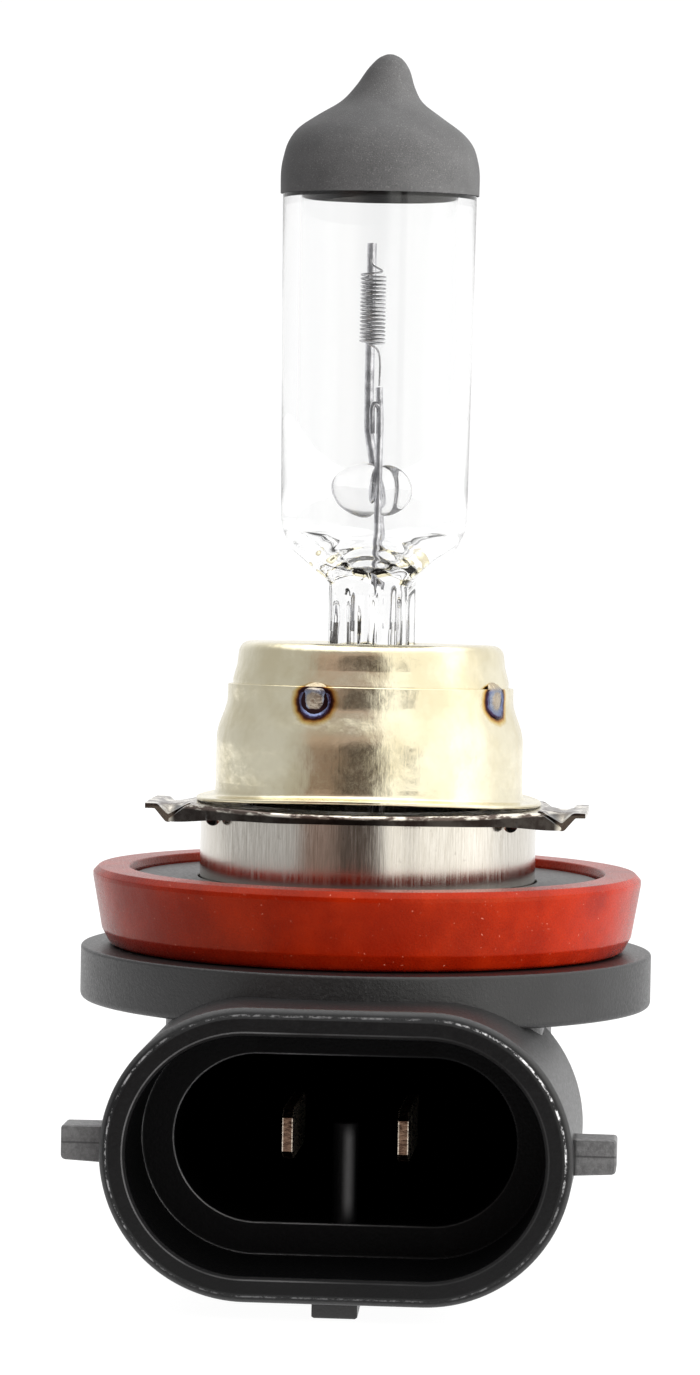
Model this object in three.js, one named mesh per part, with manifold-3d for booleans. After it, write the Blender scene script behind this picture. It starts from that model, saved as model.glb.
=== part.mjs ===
// Single-filament capsule headlight bulb on a right-angle two-pin base.
// Millimetres. +Z runs along the bulb's axis towards the glass tip, the connector mouth faces -Y, and the
// origin is on the axis in the plane that the folds of the lug ring rest on.

import * as THREE from 'three';
import { mergeVertices } from 'three/addons/utils/BufferGeometryUtils.js';
import Module from 'manifold-3d';

const wasm = await Module();
wasm.setup();

// ---------------------------------------------------------------- driving dimensions

const CLEARANCE = 0.05;        // gap left between pieces that touch
const ROUND = 36;              // facets round the metal and plastic turnings
const GLASS_ROUND = 28;        // facets round the glass

// Glass capsule
const TIP_TOP = 43.3;
const COATING_EDGE = 35.4;     // lower edge of the opaque cap
const COATING_RADIUS = 5.6;
const COATING_THICKNESS = 0.1;
const TUBE_RADIUS_LOW = 5.26;
const TUBE_RADIUS_HIGH = 5.55;
const TUBE_BASE = 17.2;        // where the straight tube starts above the shoulder
const CAVITY_RADIUS = 4.45;
const CAVITY_FLOOR = 15;
const CAVITY_TOP = 39.7;
const NIPPLE_LEAN = 0.45;      // sideways lean of the tipped-off nipple
const NIPPLE_BASE = 39.4;
const PINCH = { halfX: 2.26, halfY: 4.6, bottom: 3.2, top: 13.6, webHalfX: 1.5, ribWidth: 1.4 };

// Filament and its supports
const COIL = { x: -0.28, bottom: 27, top: 31, outerRadius: 0.735, wireRadius: 0.06, turns: 18 };
const LONG_SUPPORT_RADIUS = 0.27;
const SHORT_SUPPORT_RADIUS = 0.2;
const BEAD = { z: 18.7, halfX: 2.45, halfY: 1.75, halfZ: 1.6 };
const LEAD_Y = 2.2;            // the two conductors lie front and back of the axis inside the pinch
const FOIL = { bottom: 5.2, top: 12.6, halfWidth: 0.9, halfThickness: 0.06 };
const FOIL_LAP = 1;            // length that each wire overlaps its foil
const OUTER_LEAD_RADIUS = 0.3;

// Burner holder: cup, clip, adjusting sleeve and the welds between them
const CUP = { top: 10.4, bottom: 1.6, topRadius: 7.5, radius: 7.8, wall: 0.25, shoulder: 8 };
const CLIP = { bottom: 4.2, collarTop: 8.6, sheet: 0.3, discRadius: 7.45 };
const SLEEVE = {
  rimTop: 8, rimRadius: 8.05, creaseZ: 6.2, creaseRadius: 8.26, bodyRadius: 8.67, wall: 0.2,
};
const SLEEVE_FLANGE = { radius: 9.75, underside: 1.13, arch: 0.75, archTop: 2.6 };
const WELD = { z: 7.2, radius: 1, proud: 0.15, angles: [-18.6, 64.2, 161.4, 244.2] };

// Lug ring and cap ring
const LUG_SHEET = 0.28;
const LUG_RING = { top: 1.08, holeRadius: 7.4, rimRadius: 10.25, skirtBottom: 0.4, foldX: 11.1 };
const LUG = { reach: 12.45, halfWidth: 3.3, tipTop: 1 };
const PIP = { radius: 0.42, ringRadius: 10, halfAngle: 56 };
const CAP_RING = { radius: 9.5, wall: 0.3, top: 0.75, bottom: -4.9 };

// Seal and moulded base
const SEAL = {
  boreRadius: 13.3, landRadius: 15.2, outerRadius: 15.5, footRadius: 15, top: -2.65, bottom: -7.05,
};
const COLLAR = { radius: 13.2, top: -3.15, bossTop: -1.6, grooveClearance: 0.1 };
const FLANGE = { radius: 16.15, top: -7.1, bottom: -10.1, edge: 0.35 };
const BODY = { halfX: 10.4, front: -12.5, back: 9.5, bottom: -22.2, corner: 4 };
const SHROUD = { halfX: 12.62, halfZ: 7.87, z: -16.33, mouth: -21, back: -4.5, chamfer: 0.55 };
const SOCKET = { halfX: 11.2, halfZ: 6.35, depth: 7.5 };
const INNER_SOCKET = { halfX: 9.45, halfZ: 4.55, depth: 15.5 };
const KEY_RIB = { halfWidth: 0.75, top: 0.95 };
const TWIST_TAB = { reach: 14.85, z: -16.2, halfZ: 1.05, front: -19, back: -16.7 };
const LATCH = { halfX: 1.25, drop: 1, front: -19.2, back: -13.2 };
const WELL = { halfX: 6.5, front: -3.5, back: 7.5, corner: 1.5 };
const COVER = { ledge: 1, thickness: 1.1, gap: 0.1 };
const TERMINAL = {
  x: 3.15, z: -16.13, halfX: 0.4, halfZ: 1.4, tipHalfZ: 0.92, taper: 0.8, tail: 0.6, tailHalfZ: 1.9,
};

// ---------------------------------------------------------------- solids

function signedVolume(geometry) {
  const at = geometry.attributes.position;
  const index = geometry.index.array;
  const [a, b, c] = [new THREE.Vector3(), new THREE.Vector3(), new THREE.Vector3()];
  let six = 0;
  for (let i = 0; i < index.length; i += 3) {
    a.fromBufferAttribute(at, index[i]);
    b.fromBufferAttribute(at, index[i + 1]);
    c.fromBufferAttribute(at, index[i + 2]);
    six += a.dot(b.cross(c));
  }
  return six / 6;
}

// A closed geometry as a solid that can be joined and cut
function toSolid(source) {
  const bare = source.clone();
  bare.deleteAttribute('normal');
  bare.deleteAttribute('uv');
  const merged = mergeVertices(bare, 1e-4);
  const triVerts = Uint32Array.from(merged.index.array);
  if (signedVolume(merged) < 0) {
    for (let i = 0; i < triVerts.length; i += 3) {
      [triVerts[i], triVerts[i + 1]] = [triVerts[i + 1], triVerts[i]];
    }
  }
  const vertProperties = Float32Array.from(merged.attributes.position.array);
  return new wasm.Manifold(new wasm.Mesh({ numProp: 3, vertProperties, triVerts }));
}

function toGeometry(solid) {
  const { vertProperties, triVerts } = solid.getMesh();
  const geometry = new THREE.BufferGeometry();
  geometry.setAttribute('position', new THREE.BufferAttribute(Float32Array.from(vertProperties), 3));
  geometry.setIndex(new THREE.BufferAttribute(Uint32Array.from(triVerts), 1));
  geometry.computeVertexNormals();
  return geometry;
}

function join(solids) {
  return solids.reduce((whole, solid) => whole.add(solid));
}

function cut(solid, tools) {
  return tools.reduce((rest, tool) => rest.subtract(tool), solid);
}

// A profile of [radius, z] pairs turned about the Z axis
function turned(profile, facets = ROUND) {
  const points = profile.map(([radius, z]) => new THREE.Vector2(radius, z));
  return new THREE.LatheGeometry(points, facets).rotateX(Math.PI / 2);
}

// As turned(), for a ring whose profile closes on itself
function turnedRing(profile, facets = ROUND) {
  return turned([...profile, profile[0]], facets);
}

function block([x0, y0, z0], [x1, y1, z1]) {
  const box = new THREE.BoxGeometry(x1 - x0, y1 - y0, z1 - z0);
  return box.translate((x0 + x1) / 2, (y0 + y1) / 2, (z0 + z1) / 2);
}

// An XY outline raised from z0 to z1
function raised(shape, z0, z1, curveSegments = 6) {
  const options = { depth: z1 - z0, bevelEnabled: false, curveSegments };
  return new THREE.ExtrudeGeometry(shape, options).translate(0, 0, z0);
}

// An XZ outline pushed along Y from y0 to y1
function pushed(shape, y0, y1, curveSegments = 12) {
  const options = { depth: y1 - y0, bevelEnabled: false, curveSegments };
  return new THREE.ExtrudeGeometry(shape, options).rotateX(Math.PI / 2).translate(0, y1, 0);
}

// A YZ outline pushed along X from x0 to x1
function pushedSideways(shape, x0, x1) {
  const solid = new THREE.ExtrudeGeometry(shape, { depth: x1 - x0, bevelEnabled: false });
  return solid.rotateX(Math.PI / 2).rotateZ(Math.PI / 2).translate(x0, 0, 0);
}

function outline(points) {
  return new THREE.Shape(points.map(([u, v]) => new THREE.Vector2(u, v)));
}

function roundedRectangle(x0, y0, x1, y1, radius) {
  const shape = new THREE.Shape();
  shape.moveTo(x0 + radius, y0);
  shape.lineTo(x1 - radius, y0);
  shape.absarc(x1 - radius, y0 + radius, radius, -Math.PI / 2, 0);
  shape.absarc(x1 - radius, y1 - radius, radius, 0, Math.PI / 2);
  shape.absarc(x0 + radius, y1 - radius, radius, Math.PI / 2, Math.PI);
  shape.absarc(x0 + radius, y0 + radius, radius, Math.PI, 1.5 * Math.PI);
  return shape;
}

// A slot outline with full-round ends, centred on (0, centreZ)
function stadium(halfX, halfZ, centreZ) {
  const shape = new THREE.Shape();
  const straight = halfX - halfZ;
  shape.absarc(straight, centreZ, halfZ, -Math.PI / 2, Math.PI / 2);
  shape.absarc(-straight, centreZ, halfZ, Math.PI / 2, 1.5 * Math.PI);
  return shape;
}

function polygon(radius, sides) {
  const angles = Array.from({ length: sides }, (_, i) => (2 * Math.PI * i) / sides);
  return outline(angles.map((angle) => [radius * Math.cos(angle), radius * Math.sin(angle)]));
}

// A round wire along a smooth curve through the given points
function wire(points, radius, steps, sides = 6) {
  const places = points.map((p) => new THREE.Vector3(...p));
  const extrudePath = new THREE.CatmullRomCurve3(places, false, 'centripetal');
  extrudePath.arcLengthDivisions = 40 * points.length;
  return new THREE.ExtrudeGeometry(polygon(radius, sides), { steps, extrudePath, bevelEnabled: false });
}

function deform(geometry, move) {
  const at = geometry.attributes.position;
  const p = new THREE.Vector3();
  for (let i = 0; i < at.count; i += 1) {
    p.fromBufferAttribute(at, i);
    move(p);
    at.setXYZ(i, p.x, p.y, p.z);
  }
  return geometry;
}

// The profile moved inwards, square to itself, by a distance
function inset(profile, distance) {
  return profile.map(([r, z], i) => {
    const [r0, z0] = profile[Math.max(i - 1, 0)];
    const [r1, z1] = profile[Math.min(i + 1, profile.length - 1)];
    const length = Math.hypot(r1 - r0, z1 - z0);
    const moved = r - (distance * (z1 - z0)) / length;
    return [r === 0 ? 0 : Math.max(moved, 0.02), z + (distance * (r1 - r0)) / length];
  });
}

// ---------------------------------------------------------------- glass capsule

// Outside of the opaque cap, from its lower edge up over the shoulder to the tip of the nipple
function capProfile() {
  const shoulder = [
    [COATING_RADIUS, 36.9], [5.5, 37.6], [5.12, 38.5], [4.65, 39], [3.4, 39.9],
    [2.3, 40.7], [1.72, 41.5], [1.3, 42.3], [0.85, 43], [0.35, 43.27], [0, TIP_TOP],
  ];
  const curve = new THREE.SplineCurve(shoulder.map(([r, z]) => new THREE.Vector2(r, z)));
  const samples = curve.getPoints(11).map((p) => [Math.max(p.x, 0), p.y]);
  return [[COATING_RADIUS, COATING_EDGE], ...samples];
}

function leanNipple(p) {
  const rise = Math.max(0, (p.z - NIPPLE_BASE) / (TIP_TOP - NIPPLE_BASE));
  p.x += NIPPLE_LEAN * rise ** 1.5;
}

function topCoating() {
  const outside = capProfile();
  const inside = inset(outside, COATING_THICKNESS).reverse();
  inside[inside.length - 1][1] = COATING_EDGE;
  return deform(turned([...inside, ...outside], GLASS_ROUND), leanNipple);
}

// Below the tube the round section flattens into the wide, thin pinch
function flattenNeck(p) {
  const radius = Math.hypot(p.x, p.y);
  if (p.z >= TUBE_BASE || radius === 0) {
    return;
  }
  const down = Math.min(1, (TUBE_BASE - p.z) / (TUBE_BASE - PINCH.top));
  p.y *= THREE.MathUtils.lerp(TUBE_RADIUS_LOW, PINCH.halfY, down) / radius;
}

function pinchBlock() {
  const { halfX, halfY, webHalfX, ribWidth, bottom, top } = PINCH;
  const ribY = halfY - ribWidth;
  const half = [
    [halfX, -halfY], [halfX, -ribY], [webHalfX, -ribY + 0.5],
    [webHalfX, ribY - 0.5], [halfX, ribY], [halfX, halfY],
  ];
  const mirrored = half.map(([x, y]) => [-x, -y]);
  return raised(outline([...half, ...mirrored]), bottom, top - 1);
}

function glassEnvelope(channels) {
  const underCoating = inset(capProfile(), COATING_THICKNESS + CLEARANCE);
  underCoating[0][1] = COATING_EDGE + CLEARANCE;
  const outside = [
    [0, PINCH.top - 2], [PINCH.halfX, PINCH.top - 2], [PINCH.halfX, PINCH.top], [2.75, 14.1],
    [3.7, 14.75], [4.6, 15.6], [5.1, 16.4], [TUBE_RADIUS_LOW, TUBE_BASE],
    [TUBE_RADIUS_HIGH, COATING_EDGE - CLEARANCE], ...underCoating,
  ];
  const cavity = [
    [0, CAVITY_FLOOR], [1.3, CAVITY_FLOOR + 0.25], [2.7, 16], [3.8, 17.2], [4.2, 18.6],
    [CAVITY_RADIUS, 36.2], [4.25, 37.5], [3.5, 38.7], [2.1, 39.45], [0, CAVITY_TOP],
  ];
  const shell = deform(deform(turned(outside, GLASS_ROUND), flattenNeck), leanNipple);
  const body = toSolid(shell).add(toSolid(pinchBlock()));
  return toGeometry(cut(body, [toSolid(turned(cavity, GLASS_ROUND)), ...channels]));
}

// ---------------------------------------------------------------- filament and leads

const FOIL_LAP_X = FOIL.halfThickness + CLEARANCE;

function longSupport(extra = 0) {
  const x = FOIL_LAP_X + LONG_SUPPORT_RADIUS;
  const route = [
    [x, LEAD_Y, FOIL.top - FOIL_LAP], [x, LEAD_Y, FOIL.top],
    [0.25, 1.75, 15], [0.02, 1.2, 17.2], [-0.05, 1.08, 18.7], [-0.12, 1.08, 20.5],
    [-0.4, 1.1, 21.9], [-0.48, 1.12, 23.2], [-0.48, 1.12, 28], [-0.48, 1.12, 32.8],
  ];
  return wire(route, LONG_SUPPORT_RADIUS + extra, 24);
}

function shortSupport(extra = 0) {
  const x = FOIL_LAP_X + SHORT_SUPPORT_RADIUS;
  const route = [
    [x, -LEAD_Y, FOIL.top - FOIL_LAP], [x, -LEAD_Y, FOIL.top], [0.25, -1.7, 15], [0.12, -1.15, 17.2],
    [0.1, -1, 18.7], [0.14, -0.95, 20.6], [0, -0.7, 22.3],
    [-0.16, -0.45, 23.15], [-0.02, -0.3, 23.8], [0.03, -0.28, 24.5],
  ];
  return wire(route, SHORT_SUPPORT_RADIUS + extra, 24);
}

// One coil of fine wire, with a leg down to the short support and a leg back to the long one
function filamentCoil() {
  const radius = COIL.outerRadius - COIL.wireRadius;
  const pointsPerTurn = 8;
  const count = COIL.turns * pointsPerTurn;
  const points = [[0.03, -0.28, 24.62], [0.03, -0.3, 25.4], [-0.02, -0.55, 26.4]];
  for (let i = 0; i <= count; i += 1) {
    const angle = -Math.PI / 2 + (2 * Math.PI * i) / pointsPerTurn;
    const z = COIL.bottom + ((COIL.top - COIL.bottom) * i) / count;
    points.push([COIL.x + radius * Math.cos(angle), radius * Math.sin(angle), z]);
  }
  points.push([COIL.x + 0.5, 0.2, COIL.top + 0.25]);
  points.push([-0.45, 0.72, COIL.top + 0.5], [-0.48, 0.77, COIL.top + 0.9]);
  const legSteps = 14;
  return wire(points, COIL.wireRadius, count + legSteps, 4);
}

function bridgeBead() {
  const { halfX, halfY, halfZ, z } = BEAD;
  const bead = new THREE.SphereGeometry(1, 16, 10).scale(halfX, halfY, halfZ).translate(0, 0, z);
  const bores = [longSupport(CLEARANCE), shortSupport(CLEARANCE)];
  return toGeometry(cut(toSolid(bead), bores.map(toSolid)));
}

function sealingFoil(y, extra = 0) {
  const { halfThickness, halfWidth, bottom, top } = FOIL;
  return block(
    [-halfThickness - extra, y - halfWidth - extra, bottom - extra],
    [halfThickness + extra, y + halfWidth + extra, top + extra],
  );
}

// From the foil down through the cap and the well of the base to the terminal's tail
function outerLead(side, extra = 0) {
  const x = FOIL_LAP_X + OUTER_LEAD_RADIUS;
  const endX = side * (TERMINAL.x - TERMINAL.halfX - CLEARANCE - OUTER_LEAD_RADIUS);
  const y = side * LEAD_Y;
  const route = [
    [x, y, FOIL.bottom + FOIL_LAP], [x, y, 3], [x + side * 0.1, y * 0.95, 0], [side * 1.5, y * 0.6, -4],
    [endX, side * 0.4 - 0.8, -9], [endX, -1.2, -12], [endX, -1.2, TERMINAL.z - 1.2],
  ];
  return wire(route, OUTER_LEAD_RADIUS + extra, 20);
}

// ---------------------------------------------------------------- burner holder

function burnerClip() {
  const { bottom, collarTop, sheet, discRadius } = CLIP;
  const inner = [PINCH.halfX + CLEARANCE, PINCH.halfY + CLEARANCE];
  const outer = inner.map((half) => half + sheet);
  const discTop = bottom + sheet;
  const disc = toSolid(turned([[0, bottom], [discRadius, bottom], [discRadius, discTop], [0, discTop]]));
  const collar = toSolid(block([-outer[0], -outer[1], bottom], [outer[0], outer[1], collarTop]));
  const hole = toSolid(block([-inner[0], -inner[1], bottom - 1], [inner[0], inner[1], collarTop + 1]));
  return toGeometry(disc.add(collar).subtract(hole));
}

function burnerHolderCup() {
  const { top, bottom, topRadius, radius, wall, shoulder } = CUP;
  const outside = [
    [radius, bottom], [radius, shoulder], [topRadius + 0.1, 8.9], [topRadius, 9.6],
    [topRadius - 0.23, 10.17], [topRadius - 0.8, top], [0, top],
  ];
  const inside = [
    [0, top - wall], [topRadius - 0.85, top - wall], [topRadius - 0.42, 9.98], [topRadius - wall, 9.55],
    [topRadius + 0.1 - wall, 8.85], [radius - wall, shoulder - 0.05], [radius - wall, bottom],
  ];
  const gap = 0.3;
  const [holeX, holeY] = [PINCH.halfX + gap, PINCH.halfY + gap];
  const hole = block([-holeX, -holeY, top - 2], [holeX, holeY, top + 1]);
  return toGeometry(toSolid(turnedRing([...outside, ...inside])).subtract(toSolid(hole)));
}

// A short bar that points outwards from the axis at the weld's angle
function radialBar(radius, angle) {
  const bar = new THREE.CylinderGeometry(radius, radius, 3, 16).translate(0, 8, 0);
  return bar.rotateZ(THREE.MathUtils.degToRad(angle + 180)).translate(0, 0, WELD.z);
}

function laserWeld(angle) {
  const inner = SLEEVE.rimRadius - SLEEVE.wall;
  const outer = SLEEVE.rimRadius + WELD.proud;
  const [low, high] = [WELD.z - 2, WELD.z + 2];
  const band = turnedRing([[inner, low], [outer, low], [outer, high], [inner, high]]);
  return toGeometry(toSolid(band).intersect(toSolid(radialBar(WELD.radius, angle))));
}

// The flange stands on the lug ring at the two lugs and arches clear of it between them
function archFlange(p) {
  const low = THREE.MathUtils.clamp((SLEEVE_FLANGE.archTop - p.z) / (SLEEVE_FLANGE.archTop - 1.5), 0, 1);
  p.z += SLEEVE_FLANGE.arch * low * Math.max(0, 1 - (p.x / SLEEVE_FLANGE.radius) ** 2);
}

function adjustingSleeve() {
  const { rimTop, rimRadius, creaseZ, creaseRadius, bodyRadius, wall } = SLEEVE;
  const { radius, underside } = SLEEVE_FLANGE;
  const outside = [
    [radius, underside], [radius, underside + wall], [9.3, underside + wall + 0.03], [8.95, 1.5],
    [bodyRadius + 0.08, 1.95], [bodyRadius, 2.6], [bodyRadius, 4.6], [bodyRadius - 0.07, 5.2],
    [creaseRadius, creaseZ], [rimRadius, creaseZ + 0.5], [rimRadius, rimTop],
  ];
  const inside = [
    [rimRadius - wall, rimTop], [rimRadius - wall, creaseZ + 0.45], [creaseRadius - wall, creaseZ - 0.05],
    [bodyRadius - wall - 0.07, 5.15], [bodyRadius - wall, 4.55], [bodyRadius - wall, 2.6],
    [bodyRadius - wall + 0.08, 1.8], [8.85, 1.32], [9.25, underside],
  ];
  const sleeve = deform(turnedRing([...outside, ...inside]), archFlange);
  const notches = WELD.angles.map((angle) => toSolid(radialBar(WELD.radius + CLEARANCE, angle)));
  return toGeometry(cut(toSolid(sleeve), notches));
}

// ---------------------------------------------------------------- cap

// A strip of sheet folded down to the reference plane and up again to a flat tip
function foldedLug(side) {
  const { top, foldX, rimRadius } = LUG_RING;
  const half = LUG_SHEET / 2;
  const upper = [
    [8.6, top], [rimRadius - 0.25, top], [foldX, 0.42],
    [11.75, LUG.tipTop - 0.05], [11.95, LUG.tipTop], [LUG.reach + 1, LUG.tipTop],
  ];
  const tipUnderside = LUG.tipTop - LUG_SHEET;
  const lower = [
    [LUG.reach + 1, tipUnderside], [12.05, tipUnderside], [11.8, 0.5], [foldX + half, 0],
    [foldX - half, 0], [rimRadius - 0.4, top - LUG_SHEET], [8.6, top - LUG_SHEET],
  ];
  const profile = [...upper, ...lower].map(([x, z]) => [side * x, z]);
  const section = outline(side > 0 ? profile.reverse() : profile);
  const strip = toSolid(pushed(section, -LUG.halfWidth, LUG.halfWidth));
  const reach = turned([[0, -2], [LUG.reach, -2], [LUG.reach, 3], [0, 3]]);
  return strip.intersect(toSolid(reach));
}

function lugRing() {
  const { top, holeRadius, rimRadius, skirtBottom } = LUG_RING;
  const skirtInner = rimRadius - LUG_SHEET;
  const ring = toSolid(turnedRing([
    [holeRadius, top], [holeRadius, top - LUG_SHEET], [rimRadius - 0.5, top - LUG_SHEET],
    [skirtInner, 0.62], [skirtInner, skirtBottom],
    [rimRadius, skirtBottom], [rimRadius, 0.8], [rimRadius - 0.25, top],
  ]));
  const pips = [-1, 1].map((side) => {
    const pip = new THREE.SphereGeometry(PIP.radius, 8, 6).translate(0, -PIP.ringRadius, skirtBottom);
    return toSolid(pip.rotateZ(THREE.MathUtils.degToRad(side * PIP.halfAngle)));
  });
  return toGeometry(join([ring, foldedLug(-1), foldedLug(1), ...pips]));
}

function capRing() {
  const { radius, wall, top, bottom } = CAP_RING;
  return turnedRing([[radius - wall, bottom], [radius, bottom], [radius, top], [radius - wall, top]]);
}

// ---------------------------------------------------------------- seal and base

function sealingRing() {
  const { boreRadius, landRadius, outerRadius, footRadius, top, bottom } = SEAL;
  return turnedRing([
    [boreRadius, bottom], [footRadius - 0.7, bottom], [footRadius - 0.2, bottom + 0.25],
    [footRadius, bottom + 0.95], [outerRadius, top - 0.55], [outerRadius, top - 0.3], [landRadius, top],
    [boreRadius + 0.1, top], [boreRadius, top - 0.1],
  ]);
}

function baseTurning() {
  const { radius, top, bottom, edge } = FLANGE;
  const ringInner = CAP_RING.radius - CAP_RING.wall - COLLAR.grooveClearance;
  const ringOuter = CAP_RING.radius + COLLAR.grooveClearance;
  const groove = CAP_RING.bottom - CLEARANCE;
  return turned([
    [0, bottom], [radius - edge, bottom], [radius, bottom + edge], [radius, top], [COLLAR.radius, top],
    [COLLAR.radius, COLLAR.top], [ringOuter, COLLAR.top], [ringOuter, groove], [ringInner, groove],
    [ringInner, COLLAR.bossTop], [0, COLLAR.bossTop],
  ]);
}

function connectorShroud() {
  const { halfX, halfZ, z, mouth, back, chamfer } = SHROUD;
  const shape = stadium(halfX - chamfer, halfZ - chamfer, z);
  const options = {
    depth: back - mouth - 2 * chamfer, curveSegments: 14,
    bevelEnabled: true, bevelThickness: chamfer, bevelSize: chamfer, bevelSegments: 1,
  };
  return new THREE.ExtrudeGeometry(shape, options).rotateX(Math.PI / 2).translate(0, back - chamfer, 0);
}

// The upright partition between the terminals, with a rounded front edge
function keyRib() {
  const { halfWidth, top } = KEY_RIB;
  const front = SHROUD.mouth + SOCKET.depth;
  const shape = new THREE.Shape();
  shape.moveTo(halfWidth, SHROUD.back);
  shape.lineTo(-halfWidth, SHROUD.back);
  shape.lineTo(-halfWidth, front + halfWidth);
  shape.absarc(0, front + halfWidth, halfWidth, Math.PI, 2 * Math.PI);
  return raised(shape, SHROUD.z - INNER_SOCKET.halfZ - 0.5, SHROUD.z + top, 8);
}

function latchRamp() {
  const { halfX, drop, front, back } = LATCH;
  const bottom = SHROUD.z - SHROUD.halfZ;
  const side = outline([
    [front, bottom + 1], [front, bottom - drop * 0.9], [front + 0.3, bottom - drop],
    [back, bottom], [back, bottom + 1],
  ]);
  return pushedSideways(side, -halfX, halfX);
}

function terminalBlade(side, extra = 0) {
  const { halfX, halfZ, tipHalfZ, taper, tail, tailHalfZ } = TERMINAL;
  const front = SHROUD.mouth + SOCKET.depth;
  const wall = WELL.front + CLEARANCE;
  const half = [[front - extra, tipHalfZ + extra], [front + taper, halfZ + extra], [wall, halfZ + extra]];
  const shoulder = extra ? [] : [[wall, tailHalfZ], [tail, tailHalfZ]];
  const upper = extra ? [...half, [WELL.front + 1, halfZ + extra]] : [...half, ...shoulder];
  const lower = upper.map(([y, z]) => [y, -z]).reverse();
  const shape = outline([...upper, ...lower].map(([y, z]) => [y, z + TERMINAL.z]));
  const middle = side * TERMINAL.x;
  return pushedSideways(shape, middle - halfX - extra, middle + halfX + extra);
}

function rearCover(extra = 0) {
  const spread = COVER.ledge - COVER.gap + extra;
  const halfX = WELL.halfX + spread;
  const [front, back] = [WELL.front - spread, WELL.back + spread];
  const shape = roundedRectangle(-halfX, front, halfX, back, WELL.corner + spread);
  const top = BODY.bottom + COVER.thickness + extra;
  return raised(shape, extra ? BODY.bottom - 1 : BODY.bottom, top);
}

function baseHousing() {
  const { halfX, front, back, bottom, corner } = BODY;
  const body = raised(roundedRectangle(-halfX, front, halfX, back, corner), bottom, FLANGE.bottom + 1);
  const tabs = [-1, 1].map((side) => {
    const xs = [side * (SHROUD.halfX - 1.5), side * TWIST_TAB.reach].sort((a, b) => a - b);
    return block(
      [xs[0], TWIST_TAB.front, TWIST_TAB.z - TWIST_TAB.halfZ],
      [xs[1], TWIST_TAB.back, TWIST_TAB.z + TWIST_TAB.halfZ],
    );
  });
  const outside = join([baseTurning(), body, connectorShroud(), latchRamp(), ...tabs].map(toSolid));
  const { mouth, z } = SHROUD;
  const hollows = [
    pushed(stadium(SOCKET.halfX, SOCKET.halfZ, z), mouth - 1, mouth + SOCKET.depth),
    pushed(stadium(INNER_SOCKET.halfX, INNER_SOCKET.halfZ, z), mouth + 1, mouth + INNER_SOCKET.depth),
    raised(roundedRectangle(-WELL.halfX, WELL.front, WELL.halfX, WELL.back, WELL.corner), bottom - 1, 0, 4),
    rearCover(COVER.gap),
  ];
  const hollowed = cut(outside, hollows.map(toSolid)).add(toSolid(keyRib()));
  return toGeometry(cut(hollowed, [-1, 1].map((side) => toSolid(terminalBlade(side, CLEARANCE)))));
}

// ---------------------------------------------------------------- assembly

const bulb = new THREE.Group();

function addPiece(name, geometry, [color, roughness, metalness, opacity = 1]) {
  const finish = { color, roughness, metalness, opacity, transparent: opacity < 1 };
  const material = new THREE.MeshStandardMaterial(finish);
  const mesh = new THREE.Mesh(geometry, material);
  mesh.name = name;
  bulb.add(mesh);
}

const GLASS = [0xf2f5f5, 0.03, 0, 0.3];
const COATING = [0x4c4c4e, 0.75, 0];
const TUNGSTEN = [0x8a8a8c, 0.4, 1];
const MOLYBDENUM = [0xa2a2a6, 0.35, 1];
const SATIN_NICKEL = [0xcfc6a2, 0.32, 1];
const BRUSHED_STEEL = [0xb4b0aa, 0.38, 1];
const WELD_METAL = [0x6f6470, 0.4, 1];
const SILICONE = [0xb83420, 0.55, 0];
const BLACK_PLASTIC = [0x2e2e30, 0.6, 0];
const TINNED_BRASS = [0xcbb9a4, 0.3, 1];

const channels = [
  longSupport(CLEARANCE), shortSupport(CLEARANCE),
  sealingFoil(-LEAD_Y, CLEARANCE), sealingFoil(LEAD_Y, CLEARANCE),
  outerLead(-1, CLEARANCE), outerLead(1, CLEARANCE),
].map(toSolid);

addPiece('glass_envelope', glassEnvelope(channels), GLASS);
addPiece('top_coating', topCoating(), COATING);
addPiece('filament_coil', filamentCoil(), TUNGSTEN);
addPiece('long_support_wire', longSupport(), MOLYBDENUM);
addPiece('short_support_wire', shortSupport(), MOLYBDENUM);
addPiece('glass_bridge_bead', bridgeBead(), GLASS);
addPiece('sealing_foil_front', sealingFoil(-LEAD_Y), MOLYBDENUM);
addPiece('sealing_foil_back', sealingFoil(LEAD_Y), MOLYBDENUM);
addPiece('outer_lead_front', outerLead(-1), MOLYBDENUM);
addPiece('outer_lead_back', outerLead(1), MOLYBDENUM);
addPiece('burner_clip', burnerClip(), BRUSHED_STEEL);
addPiece('burner_holder_cup', burnerHolderCup(), SATIN_NICKEL);
addPiece('adjusting_sleeve', adjustingSleeve(), SATIN_NICKEL);
WELD.angles.forEach((angle, i) => addPiece(`laser_weld_${i + 1}`, laserWeld(angle), WELD_METAL));
addPiece('lug_ring', lugRing(), BRUSHED_STEEL);
addPiece('cap_ring', capRing(), BRUSHED_STEEL);
addPiece('sealing_ring', sealingRing(), SILICONE);
addPiece('base_housing', baseHousing(), BLACK_PLASTIC);
addPiece('terminal_left', terminalBlade(-1), TINNED_BRASS);
addPiece('terminal_right', terminalBlade(1), TINNED_BRASS);
addPiece('rear_cover', rearCover(), BLACK_PLASTIC);

export default bulb;
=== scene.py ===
"""Looks of a single-filament headlight bulb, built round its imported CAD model.

Lengths here are millimetres in the CAD frame, and finish_piece() turns them into metres. The bulb's axis
is Z, the connector's mouth faces -Y, and the origin is on the axis in the plane under the lug ring.
"""

import math

import bmesh
import bpy
from mathutils import Matrix, Vector, noise


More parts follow.
